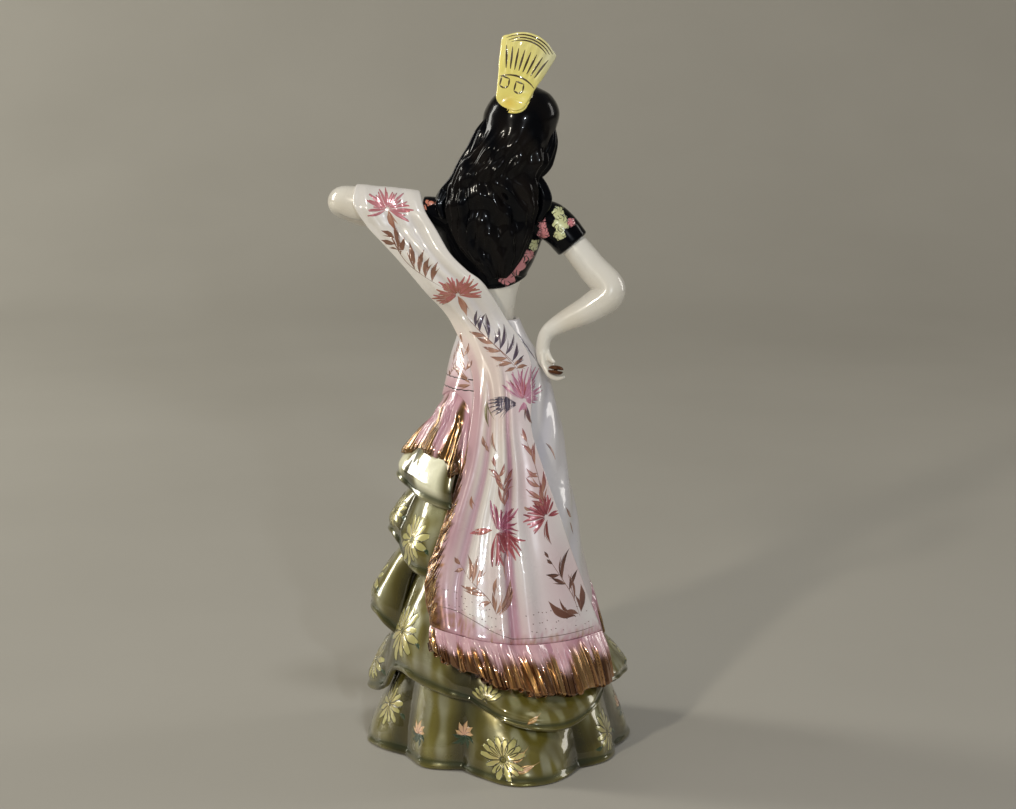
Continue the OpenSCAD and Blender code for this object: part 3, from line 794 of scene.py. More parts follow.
def build_shawl():
    u = graded(150, 62)
    t = LAST * graded(520, 290)
    T, U = np.meshgrid(t[::-1], u, indexing="ij")
    p = shawl_face(U, T)
    width = np.linalg.norm(np.diff(p, axis=1), axis=2).sum(1)[:, None]
    edge = np.minimum(np.minimum(U, 1 - U) * width, np.minimum(T, LAST - T) / LAST * 290)
    comb = step(0.12, 0.03, U) * step(12.8, 13.8, T)
    ridges = np.sin(T * 13 + U * 60 + 2.2 * ripple(p, 8, 4))
    n = grid_normals(p)
    p = p + n * (0.3 * comb * ridges)[..., None]
    paint = shawl_colour(U, T, p)
    return sheet_piece("shawl.cloth", p, SHAWL_T, edge, paint, GILTED, "blush_glaze",
                       ("shawl",), rim=1.1)


HIP = [[44, 0, 2, 53, 52], [60, 0, 2, 50, 49.5], [80, 0, 2, 47.5, 47], [97, 0, 2, 44, 43],
       [119, 0, 2, 41, 38.5], [136, 0, 2, 37.5, 34.5], [150, 0, 2, 34.5, 31.5],
       [166, 0, 2, 32, 28.5], [190, 0.5, 2, 26.5, 24], [204, 1.8, 1.5, 21.5, 19],
       [213, 3.2, 0.8, 17.4, 15.2], [222, 4.2, 0.2, 14.6, 12.6]]
WRAP_TOP = 221
WRAP_START = -206
WRAP_HEM = [[-206, 66], [-180, 80], [-135, 108], [-90, 140], [-45, 168], [0, 181], [60, 178],
            [74, 130], [94, 74], [154, 66]]
WRAP_FRINGE = [[-206, 22], [-90, 28], [0, 28], [70, 32]]


def hip_face(a, z, grow):
    s = along(HIP, z)
    c, d = heading(a)
    x = s[..., 0] + (s[..., 2] + grow) * c
    y = s[..., 1] + (s[..., 3] + grow) * d
    return np.stack([x, y, z + 0 * c], -1)


def build_wrap():
    cols = 480
    a = WRAP_START + 360 * np.arange(cols) / cols
    k = graded(120, 90)
    A, K = np.meshgrid(a, k)
    hem = along(WRAP_HEM, A)[..., 0]
    z = hem + (WRAP_TOP - hem) * K
    c, d = heading(A)
    # Soft diagonal creases of the cloth pulled round the hips.
    sweep = A + (WRAP_TOP - z) * 0.9
    crease = 0.55 * np.sin(np.radians(sweep * 5 + 40)) * step(WRAP_TOP, 190, z)
    crease += 0.4 * np.sin(np.radians(sweep * 11)) * step(215, 175, z)
    p = hip_face(A, z, crease * 0.9)
    edge = np.minimum(K, 1 - K) * (WRAP_TOP - hem)
    # A lavender tint over the whole wrap, deeper in the crease valleys as painted shade.
    tone = mix(WHITE, LAVENDER, 0.45 + 0.25 * np.clip(-crease, 0, 1))
    left = bump((A + 360) % 360, 35, 60) + bump((A + 360) % 360, 395, 60)
    tone = mix(tone, BLUSH, 0.9 * step(30, 4, z - hem) * (0.35 + 0.65 * np.clip(left, 0, 1)))
    tone = mix(tone, MAUVE, 0.5 * step(9, 0, z - hem) * np.clip(left, 0, 1))
    return sheet_piece("shawl_wrap.cloth", p, SHAWL_T, edge, tone, CLEAR, "blush_glaze",
                       ("shawl_wrap",), closed=True, rim=1.1)


# ---- Fringes

# Mean width of a strand, about, in mm.
STRAND_W = 2.7


def strands(width, seed, total):
    """Edges of strands of uneven width filling a run of the given length."""
    r = np.random.default_rng(seed)
    edges = [0.0]
    while edges[-1] < total:
        edges.append(edges[-1] + width * r.uniform(0.4, 1.9))
    edges = np.array(edges) / edges[-1]
    n = len(edges)
    return edges, r.uniform(-1, 1, n), r.uniform(-1, 1, n), r.uniform(-1, 1, n)


def combed(u, s, total, seed):
    """Relief, length change and tone of a combed fringe at u along the hem and s down."""
    edges, deep, long_, tone = strands(STRAND_W, seed, total)
    lean = 0.012 * np.sin(u * 23 + seed) * s + 0.004 * np.sin(u * 71) * s
    q = np.clip(u + lean, 0, 1)
    i = np.clip(np.searchsorted(edges, q, side="right") - 1, 0, len(edges) - 2)
    w = np.clip((q - edges[i]) / (edges[i + 1] - edges[i]), 0, 1)
    dome = np.sqrt(np.clip(1 - (2 * w - 1) ** 2, 0, 1))
    fine = 0.5 + 0.5 * np.cos(2 * math.pi * w * 2.0 + deep[i] * 3)
    grow = step(0.0, 0.35, s)
    relief = grow * (1.0 * dome + 0.22 * fine * dome + 0.8 * deep[i] * s) - 0.5 * grow
    return relief, long_[i] * dome, tone[i], dome


def gilding(tone, dome, shine, shade, streak, cut):
    """Gold on each strand with a painted pale-gold highlight along its crest, and brown between the
    strands as painted shade; some strands browner all over.
    """
    metal = mix(GOLD, GOLD_LIGHT, shine * dome * step(0.0, 1, tone))
    return mix(metal, BROWN, shade * (1 - dome) + streak * step(-cut, 1, -tone))


def fringe_grid(cols, rows, total, drop):
    """Across and down positions, and each one's distance from a rim, total by drop mm."""
    u = graded(cols, total, (0.15, 0.5, 1.0, 1.8))
    S, U = np.meshgrid(graded(rows, drop)[::-1], u, indexing="ij")
    return U, S, np.minimum(np.minimum(U, 1 - U) * total, np.minimum(S + 0.03, 1 - S) * drop)


def build_fringe_back():
    total = 105
    U, S, edge = fringe_grid(900, 60, total, 30)
    top = shawl_face(U, np.full(U.shape, float(LAST)))
    low = across(*[np.array(q, float) for q in FRINGE_EDGE], U)
    relief, longer, tone, dome = combed(U, S, total, 11)
    out = unit(np.stack([low[..., 0], low[..., 1], np.full(U.shape, 18.0)], -1))
    sag = np.sin(math.pi * S)[..., None] * out * 1.2
    p = top + (low - top) * S[..., None] + sag + out * (relief + 0.2)[..., None]
    p[..., 2] += (0.6 - 0.9 * longer) * S**3 + 0.9 * np.sin(U * 31 + 1) * S**2
    pink = mix(BLUSH, MAUVE, 0.35 + 0.45 * tone + 0.3 * ripple(p, 16, 17))
    wander = 0.13 * ripple(p * [1, 1, 0.2], 14, 6)
    gilt = step(0.14, 0.5, S + 0.2 * tone + wander)
    metal_tone = gilding(tone, dome, 0.45, 0.85, 0.55, 0.2)
    paint = lustred(mix(pink, metal_tone, gilt), 0.9 * gilt)
    return sheet_piece("fringe_back.strands", p, SHAWL_T + 0.8, edge, paint, GILT, "gold_lustre",
                       ("fringe_back",), rim=1.2)


def covered_r(a, z):
    """Radius of the flounce under the hip fringe at angle a and height z, or 0."""
    best = np.zeros(a.shape)
    for k, (top, hem, _, folds) in enumerate(FLOUNCES):
        zt, zh = level(top, a), level(hem, a)
        s = np.clip((zt - z) / (zt - zh), 0, 1)
        p = flounce_face(k, a, s)
        r = np.hypot(p[..., 0], p[..., 1])
        on = (a > folds[0][0]) & (a < folds[-1][0]) & (z < zt) & (z > zh - 1)
        best = np.maximum(best, np.where(on, r, 0))
    return best


def build_fringe_wrap():
    start, stop = WRAP_START, 66.0
    total = 250
    U, S, edge = fringe_grid(1500, 50, total, 29)
    A = start + (stop - start) * U
    hem = along(WRAP_HEM, A)[..., 0]
    relief, longer, tone, dome = combed(U, S, total, 12)
    strand = 1 - 0.62 * step(-50, 0, A)
    gather = 1.6 * np.sin(np.radians((A - 27) * 12)) * step(0.15, 0.8, S) * step(-20, 8, A)
    z = hem - along(WRAP_FRINGE, A)[..., 0] * S
    hang = hip_face(A, z, 1.9 * step(0, 0.3, S) + 3.4 * S - 1.3)
    r0 = np.hypot(hang[..., 0], hang[..., 1])
    b = np.degrees(np.arctan2(hang[..., 1], hang[..., 0]))
    b = np.where(b > A + 180, b - 360, b)
    r1 = covered_r(b, z) + SHAWL_T + 1.0 - 1.5 * step(-50, -10, A) * step(0.4, 1, S)
    r = np.maximum(r0, r1)
    soft = r.copy()
    for _ in range(6):
        soft[1:-1] = (soft[:-2] + soft[2:]) / 2
    r = np.maximum(r0, soft) + relief * 0.95 * strand * step(0.02, 0.35, S) + gather
    p = np.stack([r * hang[..., 0] / r0, r * hang[..., 1] / r0, z], -1)
    p[..., 2] -= 1.0 * longer * S**3 * strand
    pink = mix(BLUSH, MAUVE, 0.5 + 0.35 * tone)
    dabs = 0.5 * bump(A, 27, 7) + 0.6 * bump(A, 53, 6) - 0.5 * bump(A, 40, 5) - 0.25 * bump(A, 14, 5)
    gilt = step(0.4, 0.8, S + 0.16 * tone + 0.05 * ripple(p, 7, 8) + dabs * step(-10, 10, A))
    metal_tone = mix(gilding(tone, dome, 0.35, 0.8, 0.5, 0.1), srgb(104, 84, 40), 0.45)
    paint = lustred(mix(pink, metal_tone, gilt), 0.85 * gilt)
    return sheet_piece("fringe_wrap.strands", p, SHAWL_T + 0.4, edge, paint, GILT, "gold_lustre",
                       ("fringe_wrap",), rim=1.2)


shawl = build_shawl()
wrap = build_wrap()
build_fringe_back()
build_fringe_wrap()


# ---- Torso and bodice

TORSO = [[212.3, 4, 0.5, 11.3, 9.8], [220, 4.3, 0, 12.2, 10.2], [227, 4.5, 0, 13, 10.6],
         [238, 4.8, -0.5, 16, 12.5], [250, 4.6, -1.5, 22, 15.5], [262, 4.2, -1.8, 26, 16],
         [272, 3.6, -0.5, 27, 13.8], [280, 2, 0.8, 24.5, 11], [286, -1, 1.2, 15, 9],
         [291, -4, 1, 8.5, 8]]
BODICE_HEM = 236.4
SLEEVE_RIGHT = [[-14, 0, 270, 8.6], [-24, 0.5, 270.5, 9.8], [-31, 1.5, 266, 9.7],
                [-37.5, 2.5, 258.5, 9.1]]
SLEEVE_LEFT = [[18, 0, 268, 8.6], [27, 0.4, 272, 8.8], [33, 0.6, 274, 8.1],
               [38, 0.7, 274.8, 7.4]]


def torso_rings(levels, n, grow, rise=0.0):
    """grow gives mm to add at each (angle in degrees, z). The lowest ring rises on her right."""
    a = np.linspace(0, 360, n, endpoint=False)
    A, Z = np.meshgrid(a, levels)
    g = grow(A, Z)
    Z = Z + rise * bump(A, 182, 46) * step(levels[0] + 14, levels[0], Z)
    s = along(TORSO, Z)
    c, d = heading(A)
    x = s[..., 0] + (s[..., 2] + g) * c
    y = s[..., 1] + (s[..., 3] + g) * d
    return np.stack([x, y, Z], -1)


def degrees_from(a, middle):
    return np.abs((a - middle + 180) % 360 - 180)


def from_front(a):
    return degrees_from(a, 270)


def bust(a, z):
    d = from_front(a)
    return 3.4 * bump(d, 34, 17) * bump(z, 260, 8.5)


def skin_grow(a, z):
    spine_line = -0.9 * bump(degrees_from(a, 90), 0, 10) * step(214, 222, z)
    collar = 0.7 * bump(z, 283.5, 1.4) * bump(from_front(a), 26, 18)
    hollow = -0.8 * bump(z, 286, 2.5) * bump(from_front(a), 0, 12)
    return spine_line + bust(a, z) * 0.95 + collar + hollow


def bodice_grow(a, z):
    neckline = 268.5 + 17 * (1 - bump(from_front(a), 0, 46))
    over = z - neckline
    cover = step(0.55, -0.55, over)
    edge_bead = 0.45 * bump(over, -1.3, 0.8) * step(120, 60, from_front(a))
    hem_bead = 0.4 * bump(z, BODICE_HEM + 1.1, 0.9)
    return bust(a, z) + 0.9 * cover - 1.6 * (1 - cover) + edge_bead + hem_bead


def skin_colour(p):
    """Ivory glaze, a little warmer where it pools."""
    warm = srgb(238, 230, 214)
    return mix(IVORY, warm, 0.45 + 0.45 * ripple(p, 20, 31))


def build_torso():
    levels = np.linspace(212.3, 291, 160)
    skin = loft(torso_rings(levels, 160, skin_grow))
    add_mesh("torso.skin", *skin, skin_colour(skin[0]), CLEAR, "ivory_glaze", ("torso",))
    levels = np.concatenate([[BODICE_HEM, BODICE_HEM + 0.25, BODICE_HEM + 0.6],
                             np.linspace(BODICE_HEM + 1, 289.5, 150)])

    def rolled(a, z):
        return bodice_grow(a, z) - 0.5 * step(BODICE_HEM + 0.7, BODICE_HEM, z)

    shell = loft(torso_rings(levels, 220, rolled, 5.0))
    right = loft(round_ends(limb_rings(SLEEVE_RIGHT, 30, 64, (0, 1, 0)), 0.12))
    left = loft(round_ends(limb_rings(SLEEVE_LEFT, 30, 64, (0, 1, 0)), 0.12))
    return fuse("torso.bodice", [shell, right, left], 0.5, 3, JET, "bodice_black", BLACK)


bodice = build_torso()


# ---- Head

HEAD_TILT = math.radians(15)
HEAD_AT = (-11, -1, 316)
HEAD = [[-21.2, -6.9, 0.6, 0.6], [-20.9, -6.8, 2.0, 2.2], [-20.2, -6.7, 3.6, 3.8],
        [-17.5, -6, 6.6, 6.9], [-12, -3.8, 9.6, 10.6], [-5, -1.6, 11.7, 13.3],
        [3, 0, 12.8, 15.2], [10, 1, 12.6, 15], [15, 1.6, 10, 12.4], [18.5, 2, 4.4, 5.6]]
NECK = [[-4, 1, 286.5, 8], [-4.6, 1, 289.5, 6.9], [-6.2, 0.8, 296, 6.3], [-8, 0.6, 301, 6.6],
        [-9, 0.4, 304, 7.2]]
NOSE = [[-9.2, 0, 2.2], [-8.5, 0.25, 2.3], [-7.7, 1.5, 2.2], [-6.7, 3.0, 1.95], [-5.7, 3.35, 1.75],
        [-4.2, 2.8, 1.55], [-1.5, 1.7, 1.35], [1.5, 0.9, 1.35], [4.5, 0.35, 1.9], [7, 0, 3]]


def tilt(p):
    """From the head's own frame to the figurine's."""
    c, s = math.cos(HEAD_TILT), math.sin(HEAD_TILT)
    x, y, z = p[..., 0], p[..., 1], p[..., 2]
    return np.stack([HEAD_AT[0] + x * c - z * s, HEAD_AT[1] + y, HEAD_AT[2] + x * s + z * c], -1)


def untilt(p):
    c, s = math.cos(HEAD_TILT), math.sin(HEAD_TILT)
    x, y, z = p[..., 0] - HEAD_AT[0], p[..., 1] - HEAD_AT[1], p[..., 2] - HEAD_AT[2]
    return np.stack([x * c + z * s, y, -x * s + z * c], -1)


def spot(x, z, cx, cz, wx, wz):
    return np.exp(-(((x - cx) / wx) ** 2) - ((z - cz) / wz) ** 2)


def features(x, z):
    """How far the face stands forward of the plain head, in mm."""
    ax = np.abs(x)
    nose = along(NOSE, np.clip(z, -9.2, 7))
    out = nose[..., 0] * np.exp(-((ax / nose[..., 1]) ** 2.2))
    out = out + 0.75 * spot(ax, z, 1.85, -7.2, 0.75, 0.85)
    out = out - 0.35 * spot(ax, z, 0.85, -8.0, 0.5, 0.4)
    out = out - 1.15 * spot(ax, z, 4.6, 1.6, 2.9, 2.0)
    out = out + 0.95 * spot(ax, z, 5.0, 0.2, 2.2, 1.35)
    lid = 1.55 - 0.13 * (ax - 4.9) ** 2
    out = out - 0.28 * bump(z, lid, 0.33) * bump(ax, 4.9, 2.3)
    out = out + 0.55 * spot(ax, z, 4.9, 4.6, 3.6, 1.2)
    out = out + 0.75 * spot(ax, z, 8.2, -4.2, 3.2, 3.2)
    smile = 0.045 * ax**2
    upper = -10.55 + smile * 0.5 - 0.22 * bump(ax, 0, 0.6)
    lower = -12.35 + smile * 0.6
    out = out + 0.95 * bump(z, upper, 0.62) * np.sqrt(np.clip(1 - (ax / 3.9) ** 2, 0, 1))
    out = out + 1.05 * bump(z, lower, 0.75) * np.sqrt(np.clip(1 - (ax / 3.3) ** 2, 0, 1))
    out = out - 0.75 * bump(z, smile - 11.4, 0.24) * bump(ax, 0, 3.4)
    out = out - 0.35 * spot(x, z, 0, -9.3, 0.7, 0.8)
    out = out - 0.6 * spot(x, z, 0, -14.3, 3.2, 0.9)
    out = out + 1.1 * spot(x, z, 0, -17.6, 3.4, 2.2)
    return out


def head_colour(p):
    q = untilt(p)
    front = step(0, -6, q[:, 1])
    col = skin_colour(p)
    rouge = (spot(np.abs(q[:, 0]), q[:, 2], 7.4, -5.0, 2.9, 2.4)) * front
    return mix(col, srgb(226, 150, 138), 0.5 * rouge)


def build_head():
    z = np.concatenate([[-21.2, -21.1, -20.9, -20.6, -20.2], np.linspace(-19.9, 18.5, 170)])
    s = along(HEAD, z)
    a = np.linspace(0, 2 * math.pi, 380, endpoint=False)
    x = s[:, 1:2] * np.cos(a)
    y = s[:, 0:1] + s[:, 2:3] * np.sin(a)
    Z = np.broadcast_to(z[:, None], x.shape)
    front = step(0.15, 0.75, -np.sin(a))[None, :]
    y = y - features(x, Z) * front
    skull = loft(tilt(np.stack([x, y, Z], -1)))
    neck = loft(limb_rings(NECK, 40, 96, (0, 1, 0)))
    verts, faces = merged([neck, skull])
    return add_mesh("head.glazed", verts, faces, head_colour(verts), CLEAR, "ivory_glaze", ("head",))


head = build_head()


# ---- Hair

HAIR = [[244, 0, 15, 4, 2.6], [250, 1, 15.3, 11, 4], [260, 2.5, 15.6, 17.5, 5],
        [272, 3.5, 15.4, 21.5, 6], [283, 2.5, 14.6, 22.5, 7.6], [292, 1, 13, 21, 9.5],
        [300, -3.5, 9.6, 21.5, 13], [308, -6.5, 6, 20, 16.5], [317, -10.5, 2.5, 19, 18.5],
        [325, -12, 1.8, 18.6, 18], [333, -12.5, 2, 13.5, 13], [337, -12.5, 2, 6, 6]]
LOCK_LEFT = [[4, 8, 322, 1.5], [8, 10, 313, 3.6], [13, 10, 302, 4.2], [18.5, 9.5, 292, 4.4],
             [25, 7, 284.5, 4.2], [28.5, 9, 279, 3.4], [27.5, 12, 273, 1.6]]
LOCK_RIGHT = [[-27, 6, 318, 1.5], [-26, 8.5, 309, 3.4], [-22.8, 9.5, 301, 4.3],
              [-17.6, 9.5, 293.5, 4.0], [-20.6, 9, 286, 4.6], [-22.4, 8.5, 279, 4.8],
              [-20.5, 10, 272, 2.6]]


def waves(a, z):
    """Relief of the combed hair at angle a in radians: smooth on the crown, wavy below."""
    fall = step(322, 296, z)
    sway = 0.3 * np.sin(z / 9.2) + 0.1 * np.sin(z / 5.1 + 1.1)
    b = a + sway * 0.45 * fall
    broad = np.sin(13 * b + 0.6) * (0.7 + 0.3 * np.sin(z / 9.5 + 3 * a))
    fine = np.sin(27 * b + 1.7 + 0.8 * np.sin(z / 7))
    around_head = np.stack([21 * np.cos(b), 21 * np.sin(b), 0.6 * z], -1)
    lumps = ripple(around_head, 7.8, 61)
    low = step(286, 266, z)
    return fall * ((0.3 - 0.1 * low) * broad + (0.05 + 0.1 * low) * fine + 1.2 * lumps)


def build_hair():
    z = np.concatenate([np.linspace(244.3, 250, 30), np.linspace(250.4, 332, 230),
                        np.linspace(332.3, 337.2, 24)])
    s = along(HAIR, z)
    a = np.linspace(0, 2 * math.pi, 420, endpoint=False)
    A, Z = np.meshgrid(a, z)
    rx, ry = s[:, 2:3], s[:, 3:4]
    w = waves(A, Z) * step(0, 9, np.minimum(rx, ry))
    w *= 0.4 + 0.6 * step(-0.9, 0.3, np.sin(A))
    tips = step(252, 245, Z)
    dz = -1.8 * tips * np.sin(17 * A) ** 2
    p = np.stack([s[:, 0:1] + (rx + w) * np.cos(A), s[:, 1:2] + (ry + w) * np.sin(A), Z + dz], -1)
    q = untilt(p)
    oval = np.sqrt((q[..., 0] / 10.2) ** 2 + ((q[..., 2] + 4.0) / 15.4) ** 2)
    window = (1 - step(0.93, 1.1, oval)) * step(2, -4, q[..., 1])
    parting = 0.5 * bump(q[..., 0], 0, 0.8) * step(6, 12, q[..., 2]) * step(0, -3, q[..., 1])
    p[..., 1] += 6.5 * window + parting
    verts, faces = loft(p)
    tone = np.clip(0.5 + 0.5 * ripple(verts, 14, 41), 0, 1)
    return add_mesh("hair.mass", verts, faces, mix(BLACK, srgb(22, 18, 16), tone), JET,
                    "black_glaze", ("hair",))


def build_lock(name, path, turn):
    rings = limb_rings(path, 150, 72, (0, 1, 0))
    rows, cols = rings.shape[:2]
    centre = rings.mean(1, keepdims=True)
    a = np.linspace(0, 2 * math.pi, cols, endpoint=False)[None, :]
    t = np.linspace(0, 1, rows)[:, None]
    twist = turn * 5.5 * t
    ends = np.sin(math.pi * t) ** 0.5
    relief = 1 + ends * (0.16 * np.sin(3 * a + twist) + 0.07 * np.sin(7 * a + twist * 1.6 + 1))
    relief = relief * (1 + 0.07 * np.sin(t * 19) * ends)
    p = centre + (rings - centre) * relief[..., None]
    verts, faces = loft(round_ends(p, 0.8))
    return add_mesh(name + ".strand", verts, faces, BLACK, JET, "black_glaze", (name,))


hair = build_hair()
build_lock("hair_lock_left", LOCK_LEFT, 1)
build_lock("hair_lock_right", LOCK_RIGHT, -1)


# ---- Comb

COMB_FOOT = (-5.2, 17.2, 327.5)
COMB_LEAN = math.radians(19.6)
COMB_T = 2.6
# The fan's rounded top: its radius, the height of its centre, and its highest level.
COMB_R = 18.6
COMB_MID = 18.4
COMB_TOP = 36.98


def comb_point(w, h, y=0.0):
    """From the comb's own width and height to the figurine's frame, on its outer face."""
    bend = -30 + np.sqrt(30**2 - w**2)
    c, s = math.cos(COMB_LEAN), math.sin(COMB_LEAN)
    x = COMB_FOOT[0] + w * c - h * s
    z = COMB_FOOT[2] + w * s + h * c
    return np.stack([x, COMB_FOOT[1] + bend + y + 0 * w, z], -1)


def comb_half(h):
    """Half width of the fan at height h."""
    foot = 8.0 * np.sqrt(np.clip(1 - ((4.0 - np.minimum(h, 4.0)) / 5.6) ** 2, 0, 1))
    side = np.minimum(np.interp(h, [4, 29, 37], [8.0, 14.4, 14.4]), foot + np.maximum(h - 4, 0))
    round_top = np.sqrt(np.clip(COMB_R**2 - (h - COMB_MID) ** 2, 0, None))
    return np.minimum(side, np.where(h > COMB_MID, round_top, side))


def build_comb():
    h = np.concatenate([4 - 5.59 * np.cos(np.linspace(0.04, math.pi / 2, 60)),
                        np.linspace(4.3, 28, 90),
                        28 + (COMB_TOP - 28) * np.sin(np.linspace(0.03, math.pi / 2, 70))])
    s = np.sin(np.linspace(-math.pi / 2, math.pi / 2, 90))
    H, S = np.meshgrid(h, s, indexing="ij")
    half = comb_half(h)[:, None]
    W = S * half
    gap = np.minimum((1 - np.abs(S)) * half, np.minimum(COMB_TOP - H, H + 1.6))
    flutes = 0.16 * np.cos(W / np.maximum(half, 1) * 7.5 * math.pi)
    flutes = flutes * step(14, 18, H) * step(33, 30, H)
    lip = 0.3 * step(32.5, 34.0, np.hypot(W, H) * 0.98)
    p = comb_point(W, H, flutes + lip)
    # The foot is pushed out where it would sink into the hair.
    rest = np.zeros(W.shape)
    skin = ray_tree(hair)
    for i in range((h <= 14).sum()):
        for j in range(W.shape[1]):
            at, _, _, _ = skin.ray_cast(Vector((p[i, j, 0], 80, p[i, j, 2])), Vector((0, -1, 0)))
            if at is not None:
                rest[i, j] = max(0, at[1] + 1.5 - p[i, j, 1])
    for _ in range(4):
        rest[:, 1:-1] = np.maximum(rest[:, 1:-1], np.maximum(rest[:, :-2], rest[:, 2:]))
    for _ in range(60):
        rest[:, 1:-1] = (rest[:, :-2] + 2 * rest[:, 1:-1] + rest[:, 2:]) / 4
        rest[1:-1] = (rest[:-2] + 2 * rest[1:-1] + rest[2:]) / 4
    p[..., 1] += rest
    light = np.clip(step(14, 36, H) * 0.25 + 0.75 * step(2, 13, -W) * step(6, 30, H), 0, 1)
    warm = 0.6 * spot(W, H, 0.5, 1.5, 3.5, 3)
    col = mix(YELLOW, srgb(244, 240, 196), light)
    col = mix(col, srgb(230, 190, 66), warm)
    return sheet_piece("comb.fan", p[:, ::-1], COMB_T, gap[:, ::-1], col[:, ::-1], COMB,
                       "comb_yellow", ("comb",), rim=1.2)


comb = build_comb()


# ---- Arms, hands and castanets

ARM_RIGHT = [[-36.4, 1.8, 259.8, 6.8], [-41, 3.6, 254.4, 7.2], [-47.5, 6, 246.5, 7.6],
             [-56, 9.5, 235.6, 8.2], [-46.8, 10.5, 227.2, 7.3], [-34, 10, 220.4, 5.5],
             [-25.2, 9.6, 214.6, 4.0], [-22.6, 9.8, 207.5, 3.5], [-23.6, 10.3, 201, 3.9],
             [-26, 11.2, 197, 3.0]]
ARM_LEFT = [[36, 0.7, 274.8, 6.0], [48, 0.5, 276.4, 6.4], [61, 0.2, 277.4, 7.3],
            [70, -0.5, 278.5, 8.4], [77.4, -3, 279.8, 7.4], [78.5, -11, 277.4, 7.3], [71, -23, 272, 6.6],
            [60, -34, 267.4, 5],
            [53, -42, 266.5, 3.8], [49.6, -47, 266, 3.9], [47.4, -51, 266.8, 3.2]]
FINGERS_RIGHT = [
    [[-22.4, 12.6, 203.5, 1.7], [-23.2, 14.6, 198.5, 1.6], [-25.8, 16.8, 194.0, 1.5],
     [-29.4, 17.8, 192.4, 1.3], [-32.2, 17.8, 192.8, 1.0]],
    [[-23, 10.8, 202.5, 1.7], [-24.2, 12.4, 197.6, 1.6], [-27.0, 14.4, 193.4, 1.5],
     [-30.4, 15.2, 192.0, 1.25], [-33.0, 15.2, 192.6, 1.0]],
    [[-23.4, 9.0, 202.5, 1.6], [-25.0, 9.8, 198.0, 1.45], [-27.8, 10.8, 195.0, 1.3],
     [-30.4, 11.4, 194.2, 1.0]],
    [[-23.6, 7.6, 203.0, 1.4], [-25.4, 8.2, 199.2, 1.3], [-27.8, 9.0, 196.6, 1.15],
     [-29.8, 9.8, 195.8, 0.9]],
    [[-24.0, 10.4, 206.0, 1.6], [-25.2, 12.6, 203.4, 1.5], [-26.6, 14.8, 201.4, 1.3],
     [-28.0, 16.2, 200.2, 1.0]],
]
FINGERS_LEFT = [
    [[48.6, -49, 268.4, 1.7], [46.6, -54, 270.0, 1.5], [43.8, -58, 269.6, 1.35],
     [41.6, -60.6, 268.0, 1.05]],
    [[49.6, -50, 266.6, 1.7], [47.4, -55.4, 267.8, 1.5], [44.6, -59.6, 267.8, 1.35],
     [42.2, -62.2, 266.8, 1.05]],
    [[49.4, -50.4, 264.8, 1.6], [47.6, -55.6, 265.2, 1.45], [45.2, -59.6, 265.6, 1.3],
     [43.0, -62.4, 265.2, 1.0]],
    [[48.6, -50.2, 263.2, 1.5], [47.2, -54.8, 262.8, 1.35], [45.2, -58.2, 262.8, 1.2],
     [43.2, -60.6, 263.0, 0.95]],
    [[47.0, -47.6, 268.6, 1.7], [44.2, -50.4, 270.2, 1.5], [41.8, -53.6, 270.2, 1.3],
     [40.6, -56.2, 268.8, 1.0]],
]


def build_arm(name, path, fingers, reference):
    bodies = [loft(round_ends(limb_rings(path, 110, 48, reference), 0.7))]
    for f in fingers:
        bodies.append(loft(round_ends(limb_rings(f, 26, 20, reference), 0.9)))
    return fuse(name + ".glazed", bodies, 0.42, 4, CLEAR, "ivory_glaze", skin_colour)


def build_castanet(name, place, turn):
    """Two cupped shells face to face with a hub between them, as one turned body."""
    line = [(0.05, -2.4), (1.6, -2.34), (2.9, -1.95), (3.6, -1.35), (3.9, -0.75), (3.82, -0.45),
            (3.4, -0.3), (2.6, -0.26), (1.0, -0.25), (1.0, 0.25), (2.6, 0.26), (3.4, 0.3),
            (3.82, 0.45), (3.9, 0.75), (3.6, 1.35), (2.9, 1.95), (1.6, 2.34), (0.05, 2.4)]
    rings = np.array([ring(0, 0, r, z, 64) for r, z in line])
    m = np.array(Euler([math.radians(t) for t in turn], "XYZ").to_matrix())
    p = rings @ m.T + np.array(place, float)
    verts, faces = loft(p)
    col = mix(srgb(70, 40, 24), srgb(104, 66, 40), 0.5 + 0.5 * ripple(verts, 3, 51))
    return add_mesh(name + ".shells", verts, faces, col, JET, "brown_glaze", (name,))


build_arm("arm_right", ARM_RIGHT, FINGERS_RIGHT, (0.2, 1, 0.1))
build_arm("arm_left", ARM_LEFT, FINGERS_LEFT, (0.1, 0.2, 1))
build_castanet("castanet_right", (-28.9, 18.4, 196.6), (10, -8, 0))
build_castanet("castanet_left", (42.5, -60.4, 264.6), (40, 20, 30))


# ---- Painted motifs

# Mean radius of the painted band of the hip wrap, in mm.
HIP_R = 38

LEAF = srgb(206, 160, 136)
LEAF_DARK = srgb(138, 94, 78)
SLATE = srgb(96, 84, 104)
PETAL = srgb(206, 116, 122)
PETAL_DARK = srgb(136, 50, 60)
PETAL_GOLD = srgb(172, 104, 78)
MAGENTA = srgb(190, 112, 142)
DAISY = srgb(192, 186, 118)
DAISY_EDGE = srgb(74, 68, 30)
GREEN = srgb(38, 62, 34)
PEACH = srgb(242, 190, 164)
LILY = srgb(222, 224, 168)
INK = srgb(26, 18, 14)


def bowed(a, b, sag):
    """Five points from a to b, bowed to one side by a share of the length."""
    a, b = np.array(a, float), np.array(b, float)
    n = np.array([a[1] - b[1], b[0] - a[0]])
    return [a + (b - a) * t + n * sag * math.sin(math.pi * t) for t in (0, 0.25, 0.5, 0.75, 1)]


